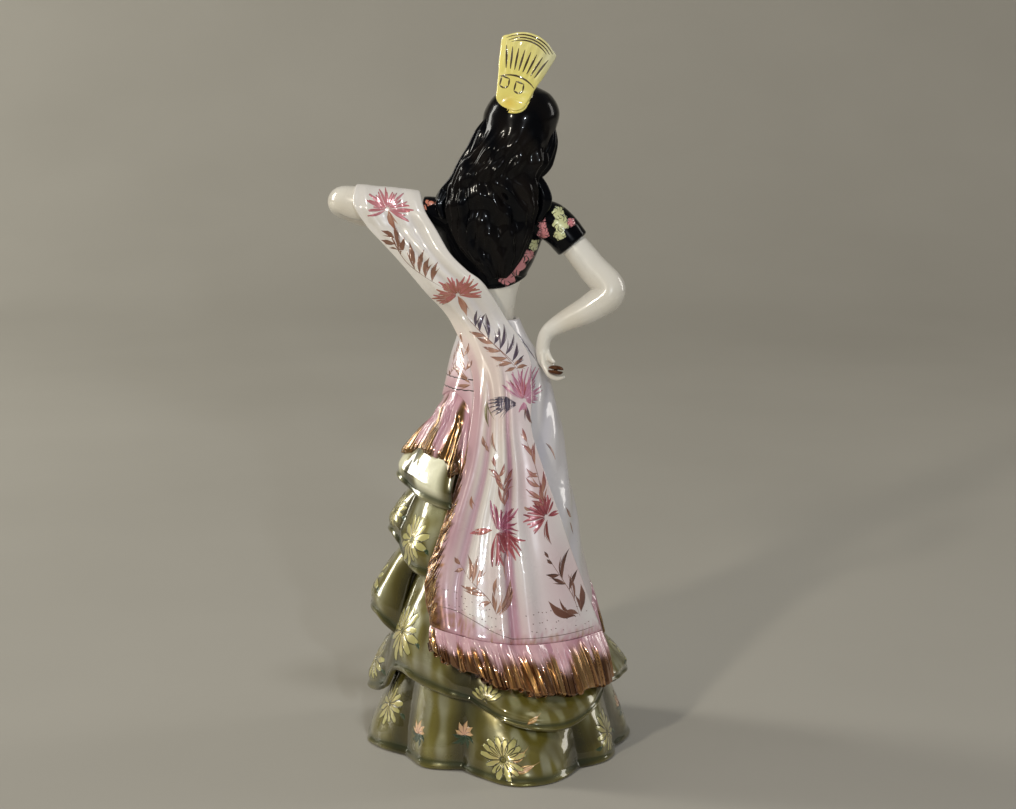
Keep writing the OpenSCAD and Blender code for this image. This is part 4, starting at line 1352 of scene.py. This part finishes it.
def leaf(canvas, base, tip, width, colour=LEAF, tail=LEAF_DARK, sag=0.1, metal=0.12):
    canvas.stroke(bowed(base, tip, sag), width * 1.4, colour, tail, taper=(0.25, 0.1), metal=metal)
    if width > 0.7:
        edge = bowed(base, tip, sag + 0.09 * (1 if rng.random() < 0.5 else -1))
        canvas.stroke(edge, 0.34, tail, lift=0.15, taper=(0.6, 0.3), metal=metal)
    if width > 1.0 and canvas.view != "round":
        way = np.array(tip, float) - np.array(base, float)
        turn = math.radians(rng.choice((-1, 1)) * rng.uniform(13, 20))
        c, s = math.cos(turn), math.sin(turn)
        side = np.array(base) + np.array([way[0] * c - way[1] * s, way[0] * s + way[1] * c]) * 0.78
        canvas.stroke(bowed(base, side, sag), width * 0.55, tail, colour, taper=(0.3, 0.1), metal=metal)


def leaf_group(canvas, rows):
    """Single leaves, each row giving what leaf takes."""
    for row in rows:
        leaf(canvas, *row)


def sprig(canvas, path, leaves, width=1.5, colour=LEAF, tail=LEAF_DARK):
    """A stem with leaves, each (place along the stem, angle, length)."""
    canvas.stroke(path, 0.42, LEAF_DARK, taper=(0.6, 0.5), metal=0.1)
    k = along(numbered(path), np.array([q[0] * (len(path) - 1) for q in leaves]))
    for (_, angle, length), base in zip(leaves, k):
        tip = canvas.polar(base, angle + rng.uniform(-5, 5), length * rng.uniform(0.9, 1.1))
        leaf(canvas, base, tip, width * rng.uniform(0.85, 1.15), colour, tail,
             rng.uniform(-0.12, 0.12))


def flower(canvas, centre, fans, colour=PETAL, tail=PETAL_DARK, width=1.25):
    """Brush petals in fans of (first angle, last angle, number, length)."""
    for first, last, count, length in fans:
        count = round(count * 1.4)
        for i in range(count):
            angle = first + (last - first) * (i + 0.5) / count + rng.uniform(-4, 4)
            reach = length * rng.uniform(0.78, 1.2)
            inner = canvas.polar(centre, angle, 1.0)
            outer = canvas.polar(centre, angle, reach)
            ink, end = (colour, tail) if rng.random() < 0.6 else (tail, colour)
            sag = rng.uniform(-0.08, 0.08)
            canvas.stroke(bowed(outer, inner, sag), width * 1.05, ink, end,
                          taper=(0.9, 0.22), metal=0.12)
            if rng.random() < 0.6:
                canvas.stroke(bowed(outer, inner, sag + 0.07), 0.32, tail, lift=0.16,
                              taper=(0.5, 0.5), metal=0.12)


def daisy(canvas, centre, reach, first=0, last=360):
    """A lustre daisy: pale petals with dark lines between, round a ringed eye."""
    petals = max(5, round(11 * (last - first) / 360 + 2))
    for i in range(petals):
        angle = first + (last - first) * (i + 0.5) / petals + rng.uniform(-3, 3)
        far = reach * rng.uniform(0.82, 1.08)
        inner = canvas.polar(centre, angle, 1.5)
        outer = canvas.polar(centre, angle, far)
        middle = [(inner[0] + outer[0]) / 2, (inner[1] + outer[1]) / 2]
        tone = mix(DAISY, GOLD_LIGHT, rng.uniform(0.1, 0.4))
        canvas.stroke([inner, middle, outer], 0.36 * reach, tone, DAISY, taper=(0.25, 0.95),
                      metal=0.2)
        for off in (-15, 15):
            a = canvas.polar(centre, angle + off, 1.8)
            m = canvas.polar(centre, angle + off, far * 0.6)
            b = canvas.polar(centre, angle + off * 0.3, far * 1.04)
            canvas.stroke([a, m, b], 0.7, DAISY_EDGE, lift=0.14, taper=(0.5, 0.4), metal=0.2)
    rim = [canvas.polar(centre, t, 1.15) for t in range(0, 361, 45)]
    canvas.stroke(rim, 0.45, DAISY_EDGE, lift=0.15, taper=(1, 1))
    eye = [canvas.polar(centre, 180, 0.5), canvas.polar(centre, 0, 0.5)]
    canvas.stroke(eye, 0.9, OLIVE, lift=0.12, taper=(1, 1))


def rosebud(canvas, centre):
    """A small peach flower with brown lines, over green leaves."""
    for angle, length in ((80, 7.4), (45, 6.6), (120, 7.0), (12, 5.2), (158, 5.6)):
        tip = canvas.polar(centre, angle, length)
        canvas.stroke(bowed(centre, tip, 0.1), 3.2, PEACH, GOLD_LIGHT, metal=0.15)
        canvas.stroke(bowed(centre, tip, 0.24), 0.4, BROWN, lift=0.14, metal=0.2)
    for angle, length in ((215, 8.0), (285, 7.2), (330, 6.4), (180, 6.6), (245, 6.0)):
        tip = canvas.polar(centre, angle, length)
        canvas.stroke(bowed(centre, tip, 0.15), 2.5, GREEN, metal=0.1)


def gilt_leaf(canvas, centre, angle, length):
    """A narrow leaf outlined in gold, with a vein."""
    start = canvas.polar(centre, angle, 0.4)
    end = canvas.polar(centre, angle, length * 0.96)
    canvas.stroke(bowed(start, end, 0.02), 0.24 * length, PEACH, GOLD_LIGHT, lift=0.06,
                  taper=(0.3, 0.2), metal=0.3)
    for sag in (-0.13, 0.13):
        base = np.array(canvas.polar(centre, angle, 0))
        tip = np.array(canvas.polar(centre, angle, length))
        mid = canvas.polar((base + tip) / 2, angle + 90, sag * length)
        canvas.stroke([base, mid, tip], 0.7, GOLD_LIGHT, GOLD, taper=(0.6, 0.6), metal=0.5)
    line = [canvas.polar(centre, angle, length * t) for t in (-0.3, 0.2, 0.8)]
    canvas.stroke(line, 0.4, GOLD_LIGHT, taper=(0.6, 0.3), metal=0.5)


# ---- Shawl painting

cloth = Canvas("back", (shawl, wrap))

flower(cloth, (55, 276.5), [(15, 80, 6, 9), (80, 165, 8, 10), (165, 200, 3, 9), (-35, 10, 4, 11)],
       PETAL, srgb(206, 140, 148), 1.5)
leaf(cloth, (54.5, 276), (51, 266), 2.4, LEAF, PETAL_GOLD, 0.05)
sprig(cloth, [(52, 264), (50, 257), (45, 250), (37, 244), (27, 238)],
      [(0.06, 150, 7), (0.16, 165, 7), (0.3, 98, 14), (0.34, 75, 9), (0.26, 190, 6), (0.62, 96, 13),
       (0.7, 84, 13), (0.78, 78, 11), (0.86, 70, 10), (0.7, 172, 12), (0.84, 182, 13), (0.92, 200, 9)],
      2.0, srgb(146, 104, 78))
sprig(cloth, [(13.5, 189), (16.5, 198), (18, 212)],
      [(0.1, 150, 7), (0.25, 140, 9), (0.42, 112, 8), (0.45, 60, 7), (0.66, 118, 8), (0.7, 70, 8),
       (0.9, 105, 6), (0.05, 190, 8)], 1.3)
flower(cloth, (20, 234.5), [(-10, 60, 7, 10.5), (60, 115, 5, 9), (115, 175, 5, 10),
                                    (175, 215, 4, 12)], PETAL, PETAL_GOLD, 1.6)
flower(cloth, (22, 235), [(120, 200, 4, 7)], PETAL_GOLD, LEAF, 1.4)
leaf(cloth, (20, 234), (15.6, 223.5), 2.6, PETAL_GOLD, LEAF, -0.04)
sprig(cloth, [(15.5, 223), (10, 217), (1, 209), (-6, 203), (-11, 198)],
      [(0.2, 84, 8), (0.28, 70, 9), (0.4, 96, 13), (0.47, 76, 9), (0.56, 82, 12), (0.66, 66, 10),
       (0.8, 78, 9), (0.9, 50, 6)], 1.3, SLATE, srgb(84, 66, 78))
sprig(cloth, [(14, 221), (8, 215), (0, 208), (-6, 202), (-10, 197.5)],
      [(0.3, 168, 8), (0.42, 158, 9), (0.55, 165, 10), (0.68, 176, 8), (0.8, 186, 8), (0.92, 200, 6),
       (0.86, 30, 6), (0.95, 12, 6)], 1.5)
flower(cloth, (-13, 183), [(60, 100, 5, 14), (100, 145, 6, 13), (10, 60, 6, 9), (-30, 10, 4, 7),
                                   (240, 290, 4, 5.5)], MAGENTA, srgb(214, 160, 182), 1.2)
flower(cloth, (-12.5, 183), [(70, 130, 4, 11)], PETAL_DARK, PETAL, 0.9)
for angle, length in ((172, 11), (186, 12), (200, 12), (216, 12), (232, 11)):
    tip = cloth.polar((-3, 182), angle, length * 0.72)
    leaf(cloth, (-9, 182 - (angle - 172) * 0.02), tip, 1.3, SLATE, srgb(70, 62, 78), 0.1)
leaf_group(cloth, (
    ((-14, 181), (-17, 171), 1.6, SLATE, LEAF_DARK, 0.05),
    ((5.5, 183), (4.5, 170), 1.2, srgb(150, 138, 92), srgb(120, 108, 70), 0.08),
    ((7.5, 166), (6, 160), 1.4), ((2.5, 168), (0.5, 158.5), 0.9), ((5.8, 162), (4.4, 158), 1.1),
))
sprig(cloth, [(2, 154), (0, 147), (-3, 141), (-3, 132)],
      [(0.12, 100, 6), (0.3, 150, 5), (0.36, 62, 8), (0.5, 128, 9), (0.6, 60, 10), (0.72, 118, 10),
       (0.82, 66, 9), (0.95, 110, 9), (0.98, 74, 8)], 1.4, LEAF, PETAL_DARK)
flower(cloth, (0.5, 121), [(35, 105, 8, 12.5), (-25, 35, 5, 9)], PETAL_DARK, MAGENTA, 1.3)
flower(cloth, (0.5, 121), [(-100, -20, 9, 14.5)], PETAL, PETAL_DARK, 1.6)
leaf_group(cloth, (
    ((3, 121), (14, 118.5), 3.0, PETAL_GOLD, PETAL, 0.06),
    ((4, 121), (12.5, 118.8), 0.6, PETAL_DARK, LEAF_DARK, 0.02),
    ((-4.5, 118), (-9.5, 112), 0.5, MAGENTA, PETAL),
    ((-5, 114), (-4, 97), 1.0, SLATE, LEAF, 0.08), ((0.5, 99), (1.5, 90), 1.2, LEAF, LEAF_DARK),
    ((13, 137), (12.4, 130), 1.3, PETAL_GOLD, LEAF),
))
sprig(cloth, [(-12.5, 168), (-17, 156), (-20, 146), (-22, 136), (-24, 128)],
      [(0.1, 112, 7), (0.2, 60, 5), (0.26, 125, 9), (0.36, 95, 10), (0.45, 205, 6), (0.5, 140, 7),
       (0.62, 142, 9), (0.72, 84, 12), (0.78, 150, 10), (0.86, 98, 12), (0.88, 150, 8), (0.97, 70, 12)],
      1.5, LEAF, PETAL_DARK)
flower(cloth, (-24, 126.5), [(115, 235, 10, 10), (60, 115, 4, 9), (0, 60, 3, 7)],
       PETAL, PETAL_DARK, 1.5)
flower(cloth, (-24, 126.5), [(80, 160, 4, 8)], PETAL_DARK, PETAL_DARK, 1.2)
leaf_group(cloth, (
    ((-24.5, 125), (-26.6, 113), 1.3, PETAL_DARK, LEAF_DARK),
    ((-13, 132), (-16.5, 130), 1.3, LEAF),
))
sprig(cloth, [(0.5, 81.5), (4, 88), (10, 94), (15, 99), (19.5, 105)],
      [(0.95, 130, 5), (0.86, 190, 5), (0.7, 96, 12), (0.62, 82, 13), (0.52, 70, 12), (0.5, 182, 9),
       (0.34, 168, 10), (0.22, 190, 7), (0.05, 100, 9), (0.02, 62, 12)], 1.6)
leaf_group(cloth, (
    ((-1, 84), (-6.2, 97), 2.4, LEAF, LEAF_DARK, 0.12),
    ((-0.5, 82), (-7.5, 89.5), 1.6, LEAF, LEAF_DARK, 0.1),
))
sprig(cloth, [(-41, 76), (-37.5, 86), (-33, 94), (-28, 102), (-23, 110)],
      [(0.62, 170, 7), (0.55, 74, 13), (0.46, 150, 9), (0.36, 62, 10), (0.8, 140, 4), (0.9, 118, 4)],
      1.5, LEAF_DARK, srgb(70, 40, 34))
leaf_group(cloth, (
    ((-38.5, 77), (-25, 86), 3.4, srgb(110, 66, 52), LEAF_DARK, -0.12),
    ((-40, 77.5), (-32, 80), 1.8, LEAF_DARK, LEAF_DARK, 0.1),
    ((-41.5, 78), (-41.5, 91), 2.8, srgb(104, 60, 48), LEAF_DARK, 0.06),
    ((-42.5, 77), (-46, 86), 1.6, LEAF_DARK, LEAF_DARK),
    ((-38, 84), (-35, 97), 1.0, LEAF_DARK, LEAF_DARK),
))


def on_cloth(u, t):
    p = shawl_face(np.array([float(u)]), np.array([float(t)]))
    return p[0, 0], p[0, 2]


# The thin line above the fringe. Loose rows of dots follow above it.
for u in np.linspace(0.06, 0.96, 45):
    if 0.1 < u < 0.93:
        line = [on_cloth(v, float(hem_row(v))) for v in (u - 0.02, u, u + 0.02, u + 0.04)]
        cloth.stroke(line, 0.42, BROWN_GREY, taper=(1, 1))
for row in range(3):
    for i in range(40):
        u = 0.05 + 0.91 * (i + 0.5 * (row % 2) + rng.uniform(-0.3, 0.3)) / 40
        if u < 0.12 or 0.42 < u < 0.56 or rng.random() < 0.3:
            continue
        at = np.array(on_cloth(u, float(hem_row(u)) - 0.1 - 0.13 * row + 0.03 * rng.uniform(-1, 1)))
        cloth.stroke([at - [0.3, 0.15], at, at + [0.3, 0.15]], 0.55, BROWN_GREY, taper=(1, 1))
# Gilt brush strokes along the left edge.
for t in np.linspace(12.7, 16.0, 120):
    reach = rng.uniform(0.03, 0.075) * step(12.4, 14.6, t) + 0.018
    inner = on_cloth(min(reach, 0.11), t - rng.uniform(0.25, 0.7))
    outer = on_cloth(0.012, t + rng.uniform(-0.05, 0.15))
    middle = [(inner[0] + outer[0]) / 2, (inner[1] + outer[1]) / 2 - rng.uniform(0, 0.6)]
    tone = (GOLD, BROWN, GOLD_LIGHT, BROWN)[rng.integers(4)]
    cloth.stroke([inner, middle, outer], rng.uniform(0.35, 1.1), tone,
                 mix(tone, BROWN, 0.4), taper=(0.1, 0.7), metal=0.7)
cloth.done("shawl.painting", ENAMEL, "blush_glaze")

# The front lap over her left arm carries the same flowers.
lap = Canvas("front", (shawl,))
flower(lap, (57, 279), [(20, 160, 10, 8), (200, 340, 6, 6)], PETAL, MAGENTA, 1.4)
sprig(lap, [(50, 281), (45, 276), (42, 270)], [(0.3, 120, 6), (0.6, 200, 6), (0.9, 260, 5)])
lap.done("shawl.painting_front", ENAMEL, "blush_glaze")

hips = Canvas("round", (wrap,), HIP_R)
sprig(hips, [(24, 193), (22, 199), (24, 206)],
      [(0.1, 60, 9), (0.2, 20, 8), (0.4, 74, 10), (0.6, 120, 6), (0.8, 95, 8), (0.05, 160, 5)],
      1.5, srgb(150, 110, 92))
for z, first, last in ((192.6, -8, 66), (187.2, -14, 60)):
    for a in np.arange(first, last, 9.0):
        hips.stroke([(a, z), (a + 5, z - 0.3), (a + 10, z + 0.1)], 0.75, INK, taper=(1, 1))
leaf_group(hips, (
    ((155, 121), (148, 127), 2.2, LEAF, LEAF_DARK),
    ((151, 119), (156, 112), 1.0, LEAF, LEAF_DARK), ((138, 160), (146, 151), 0.9, SLATE, LEAF),
    ((142, 206), (150, 200), 1.0, SLATE, SLATE), ((138, 210), (146, 204), 1.0, SLATE, SLATE),
    ((134, 214), (141, 208), 0.9, SLATE, SLATE),
))
for k, a in enumerate((-172, -128, -84, -42)):
    hem = float(along(WRAP_HEM, a)[0])
    mid = (hem + 205) / 2
    flower(hips, (a, mid), [(20, 110, 7, 10), (200, 340, 9, 9)], (PETAL, MAGENTA)[k % 2],
           PETAL_DARK, 1.4)
    leaf(hips, (a, mid), (a - 14, mid - 2), 2.4, PETAL_GOLD, PETAL)
    sprig(hips, [(a + 3, mid + 9), (a + 6, mid + 17), (a + 4, mid + 25)],
          [(0.1, 130, 7), (0.3, 50, 8), (0.5, 125, 8), (0.7, 60, 8), (0.95, 100, 7)])
    sprig(hips, [(a + 6, hem + 7), (a + 14, hem + 14), (a + 18, hem + 24)],
          [(0.05, 100, 8), (0.1, 40, 9), (0.4, 120, 8), (0.6, 50, 7), (0.9, 110, 6)])
hips.done("shawl_wrap.painting", ENAMEL, "blush_glaze")


# ---- Skirt painting

# For each flounce: daisies as (angle, z, reach), with first and last angle where one is cut off,
# rosebuds as (angle, z), and gilt leaves as (place, direction, length).
MOTIFS = [
    ([(-78, 140, 9.5), (-32, 154, 9.0)], [], []),
    ([(33, 112, 13.5), (6, 122, 9), (-40, 106, 10.5), (-80, 94, 10.5), (-120, 92, 10)],
     [(-16, 116), (-60, 96), (-98, 88)], []),
    ([(-8, 84, 13), (-56, 72, 11.5), (-100, 64, 11.5), (-142, 66, 11)],
     [(-32, 76), (-78, 62), (-120, 60)], []),
    ([(29, 64, 14.5), (2, 42, 11.5), (84, 38, 8, 15, 165), (186, 46, 11), (226, 43, 11),
      (268, 39, 11), (314, 42, 11)],
     [(246, 38), (292, 36), (338, 40), (204, 40)], [((106, 33), 220, 6)]),
    ([(19, 23, 11.5), (92, 11, 10.5, 5, 185), (92, 11, 9.5, 200, 345), (150, 12, 10.5),
      (200, 15, 10.5), (250, 14, 11), (300, 14, 11), (-14, 12, 9)],
     [(47, 15), (73, 18), (178, 17), (226, 16), (276, 15)],
     [((104, 9), 202, 10), ((101, 15), 225, 8), ((262, 9), 20, 9)]),
]
for obj, (daisies, buds, gilt_leaves) in zip(flounces, MOTIFS):
    canvas = Canvas("round", (obj,))
    for a, z, reach, *arc in daisies:
        daisy(canvas, (a, z), reach, *arc)
    for a, z, reach, *arc in daisies:
        if arc:
            continue
        for side in (200, 340):
            base = canvas.polar((a, z), side + 4, reach - 1)
            tip = canvas.polar((a, z), side, reach + 3.5)
            leaf(canvas, base, tip, 2.0, GREEN, srgb(56, 74, 40), 0.15, 0.1)
    for place in buds:
        rosebud(canvas, place)
    for place, way, length in gilt_leaves:
        gilt_leaf(canvas, place, way, length)
    canvas.done(obj.name.replace(".glaze", ".painting"), ENAMEL, "olive_lustre")


# ---- Bodice, comb and face painting

def blossom(canvas, centre, size, colour, seed):
    """A loose rose of rounded dabs with dark curls between them."""
    r = np.random.default_rng(seed)
    for i in range(5):
        angle = 72 * i + r.uniform(-12, 12)
        at = canvas.polar(centre, angle, size * 0.5)
        a = canvas.polar(at, angle + 100, size * 0.34)
        b = canvas.polar(at, angle - 80, size * 0.34)
        canvas.stroke(bowed(a, b, 0.25), size * 0.56, colour, taper=(0.8, 0.8))
    a, b = canvas.polar(centre, 200, size * 0.3), canvas.polar(centre, 20, size * 0.3)
    canvas.stroke(bowed(a, b, 0.1), size * 0.6, colour, taper=(0.9, 0.9), lift=0.14)
    for i in range(6):
        angle = 60 * i + r.uniform(-20, 20)
        a = canvas.polar(centre, angle, size * 0.25)
        b = canvas.polar(centre, angle + 50, size * 0.62)
        canvas.stroke(bowed(a, b, 0.35), max(0.42, size * 0.085), INK, lift=0.26, taper=(0.8, 0.8))


cloth = Canvas("back", (bodice,))
ROSE = srgb(226, 142, 148)
CORAL = srgb(226, 138, 110)
# Blossoms on the bodice as (x, z, size), seen from the back and from the front.
BACK_BLOSSOMS = (
    (ROSE, (-21.3, 272.4, 4.4), (-22.2, 268.2, 3.6), (-22.6, 264.2, 5.0)),
    (LILY, (-30.2, 274.6, 5.2), (-31.4, 269.4, 6.8), (-30.8, 264.0, 5.0), (-18.6, 258.0, 5.0)),
    (ROSE, (-11.0, 248.0, 9.6), (-4.6, 242.4, 7.0), (-15.6, 253.2, 4.6)),
    (CORAL, (34, 281.0, 5.0), (38, 277.0, 4.0)),
    (ROSE, (-36.6, 269.8, 3.6)),
)
FRONT_BLOSSOMS = ((-14, 262, 4.4), (14, 264, 4.6), (-4, 252, 4.0), (22, 252, 3.6), (4, 243, 3.6),
                  (-28, 268, 4.0), (27, 273, 3.6), (-16, 247, 3.4), (10, 255, 3.2))
for colour, *rows in BACK_BLOSSOMS:
    for x, z, size in rows:
        blossom(cloth, (x, z), size, colour, int(size * 10))
cloth.view = "front"
for i, (x, z, size) in enumerate(FRONT_BLOSSOMS):
    blossom(cloth, (x, z), size, (ROSE, LILY, CORAL)[i % 3], 20 + i)
cloth.done("torso.painting", ENAMEL, "bodice_black")

fan = Canvas("back", (comb,))
LINE = srgb(72, 54, 20)


def comb_line(path, width):
    p = [comb_point(np.float64(w), np.float64(h)) for w, h in path]
    for view in ("back", "front"):
        fan.view = view
        fan.stroke([(q[0], q[2]) for q in p], width, LINE, taper=(0.8, 0.6))


# Arcs across the fan: radius, height of the centre, half angle and width of the line.
for r, mid, reach, width in ((COMB_R - 1.3, COMB_MID, 44, 1.0), (COMB_R - 2.7, COMB_MID, 42, 1.0),
                             (COMB_R - 4.0, COMB_MID, 38, 1.0), (15.2, 0, 36, 1.2)):
    comb_line([(r * math.sin(math.radians(t)), mid + r * math.cos(math.radians(t)))
               for t in np.linspace(-reach, reach, 9)], width)
for i in range(8):
    w = -7.4 + 2.1 * i
    comb_line([(w, 18.0 - abs(w) * 0.12), (w * 1.25, 23), (w * 1.48, 28.6 - abs(w) * 0.14)], 1.3)
# Two small many-sided loops near the foot.
CORNERS = [(2.3, 2.5), (-1.7, 2.3), (-2.3, -1.2), (-0.6, -2.9), (1.9, -2.3), (2.3, 2.5)]
for w, h in ((5.6, 10.4), (-1.9, 10.2)):
    for a, b in zip(CORNERS, CORNERS[1:]):
        comb_line([(w + a[0], h + a[1]), (w + (a[0] + b[0]) / 2, h + (a[1] + b[1]) / 2),
                   (w + b[0], h + b[1])], 1.15)
fan.done("comb.painting", ENAMEL, "comb_yellow")

face = Canvas("front", (head,))


def face_line(path, width, colour, lift=0.06, taper=(0.3, 0.3)):
    q = [tilt(np.array([x, 0.0, z])) for x, z in path]
    face.stroke([(p[0], p[2]) for p in q], width, colour, lift=lift, taper=taper)


for s in (-1, 1):
    face_line([(s * 2.9, -0.15), (s * 4.0, 0.45), (s * 5.2, 0.5), (s * 6.9, 0.2)], 1.7,
              srgb(246, 244, 238), taper=(0.3, 0.2))
    face_line([(s * 4.8, -0.55), (s * 4.8, 0.3), (s * 4.8, 1.1)], 1.6, srgb(78, 48, 30), 0.09, (1, 1))
    face_line([(s * 4.8, -0.1), (s * 4.8, 0.35), (s * 4.8, 0.75)], 0.85, INK, 0.13, (1, 1))
    face_line([(4.8 * s + 0.25, 0.55), (4.8 * s + 0.4, 0.7), (4.8 * s + 0.5, 0.85)], 0.35,
              srgb(250, 250, 250), 0.19, (1, 1))
    face_line([(s * 2.6, -0.35), (s * 3.6, 0.95), (s * 4.9, 1.5), (s * 6.2, 1.15), (s * 7.5, 0.45)],
              0.5, INK, 0.17, (0.4, 0.2))
    face_line([(s * 3.1, -0.5), (s * 4.8, -0.95), (s * 6.8, -0.1)], 0.16, BROWN, 0.09)
    face_line([(s * 2.3, 3.9), (s * 4.2, 5.0), (s * 6.2, 5.1), (s * 8.3, 3.9)], 0.62,
              srgb(40, 26, 20), 0.07, (0.5, 0.15))
    face_line([(s * 0.7, -8.05), (s * 1.0, -7.95), (s * 1.3, -8.1)], 0.3, srgb(150, 90, 78), 0.04)
    face_line([(0, -10.75), (s * 0.7, -10.35), (s * 2.0, -10.75), (s * 3.3, -11.05)], 1.0,
              srgb(184, 44, 48), 0.06, (0.9, 0.25))
face_line([(-2.6, -12.0), (0, -12.5), (2.6, -12.0)], 1.25, srgb(196, 54, 56), 0.06, (0.3, 0.3))
face_line([(-3.1, -11.15), (-1.2, -11.5), (0, -11.4), (1.2, -11.5), (3.1, -11.15)], 0.2,
          srgb(110, 24, 28), 0.12)
face.done("head.painting", ENAMEL, "ivory_glaze")


# ---- Floor, light and camera

# The floor: how far it lies below the figurine's foot, where it starts to curve up and how
# tightly, in metres.
FLOOR_GAP = 0.0004
SWEEP_Y = -1.5
SWEEP_R = 1.2


def build_floor():
    """A paper sweep: flat under the figurine, curving up far behind it."""
    line = [(3.0, 0.0)] + [(2.6 - 0.4 * i, 0.0) for i in range(11)]
    for i in range(1, 17):
        t = math.pi / 2 * i / 16
        line.append((SWEEP_Y - SWEEP_R * math.sin(t), SWEEP_R - SWEEP_R * math.cos(t)))
    line += [(-2.7, 1.8), (-2.7, 3.0)]
    xs = np.linspace(-4, 4, 33)
    verts = [(x, y, z - FLOOR_GAP) for y, z in line for x in xs]
    faces = grid_faces(len(line), len(xs))[:, ::-1]
    mesh = bpy.data.meshes.new("floor_sweep")
    mesh.from_pydata(verts, [], faces.tolist())
    mesh.polygons.foreach_set("use_smooth", [True] * len(mesh.polygons))
    obj = bpy.data.objects.new("floor_sweep", mesh)
    bpy.context.scene.collection.objects.link(obj)
    mat = bpy.data.materials.new("paper")
    mat.use_nodes = True
    tree = mat.node_tree
    shader = tree.nodes["Principled BSDF"]
    shader.inputs["Roughness"].default_value = 0.55
    shader.inputs["Specular IOR Level"].default_value = 0.3
    ramp = node(tree, "ValToRGB")
    stops = ((0.3, srgb(182, 178, 168)), (0.7, srgb(188, 184, 174)))
    for stop, (position, colour) in zip(ramp.color_ramp.elements, stops):
        stop.position = position
        stop.color = (*colour, 1)
    tree.links.new(noise(tree, 3, 6), ramp.inputs["Fac"])
    tree.links.new(ramp.outputs["Color"], shader.inputs["Base Color"])
    obj.data.materials.append(mat)


# Lamps: place, width and height in metres, watts, colour and the point each is aimed at, which is
# the middle of the figurine or a spot on the sweep.
FIGURE = (0, 0, 0.19)
LAMPS = {
    "lamp_left": ((0.7, 1.25, 0.88), (0.07, 0.2), 7.6, (1.0, 0.93, 0.8), FIGURE),
    "lamp_right": ((-0.35, 1.5, 0.62), (0.05, 0.05), 4.6, (0.86, 0.93, 1.0), FIGURE),
    "lamp_top": ((-0.1, 0.5, 1.7), (0.18, 0.18), 4.6, (0.97, 0.98, 1.0), FIGURE),
    "lamp_far_left": ((1.9, -0.6, 0.9), (0.5, 1.2), 30, (1.0, 0.98, 0.9), (0, -1.7, 0.4)),
    "lamp_far_right": ((-1.9, -0.6, 0.9), (0.5, 1.2), 8, (1.0, 0.96, 0.9), (0, -1.5, 0.4)),
}

build_floor()
for name, (place, size, power, colour, aim) in LAMPS.items():
    light = bpy.data.lights.new(name, "AREA")
    light.shape = "RECTANGLE"
    light.size, light.size_y = size
    light.energy = power
    light.color = colour
    obj = bpy.data.objects.new(name, light)
    bpy.context.scene.collection.objects.link(obj)
    obj.location = place
    obj.rotation_euler = (Vector(aim) - Vector(place)).to_track_quat("-Z", "Y").to_euler()

world = bpy.data.worlds.new("room")
bpy.context.scene.world = world
world.use_nodes = True
backdrop = world.node_tree.nodes["Background"].inputs
backdrop["Color"].default_value = (*srgb(204, 200, 194), 1)
backdrop["Strength"].default_value = 0.2

# The photograph's viewpoint: behind the figurine, looking a little down on it.
CAMERA_AT = (-0.005, 1.050, 0.361)
CAMERA_DOWN = math.radians(10)
lens = bpy.data.cameras.new("camera")
lens.sensor_fit = "HORIZONTAL"
lens.sensor_width = 36
lens.lens = 73.88
lens.clip_start = 0.05
lens.clip_end = 30
camera = bpy.data.objects.new("camera", lens)
bpy.context.scene.collection.objects.link(camera)
camera.location = CAMERA_AT
camera.rotation_euler = (math.pi / 2 - CAMERA_DOWN, 0, math.pi)
bpy.context.scene.camera = camera
bpy.context.scene.view_settings.view_transform = "Standard"
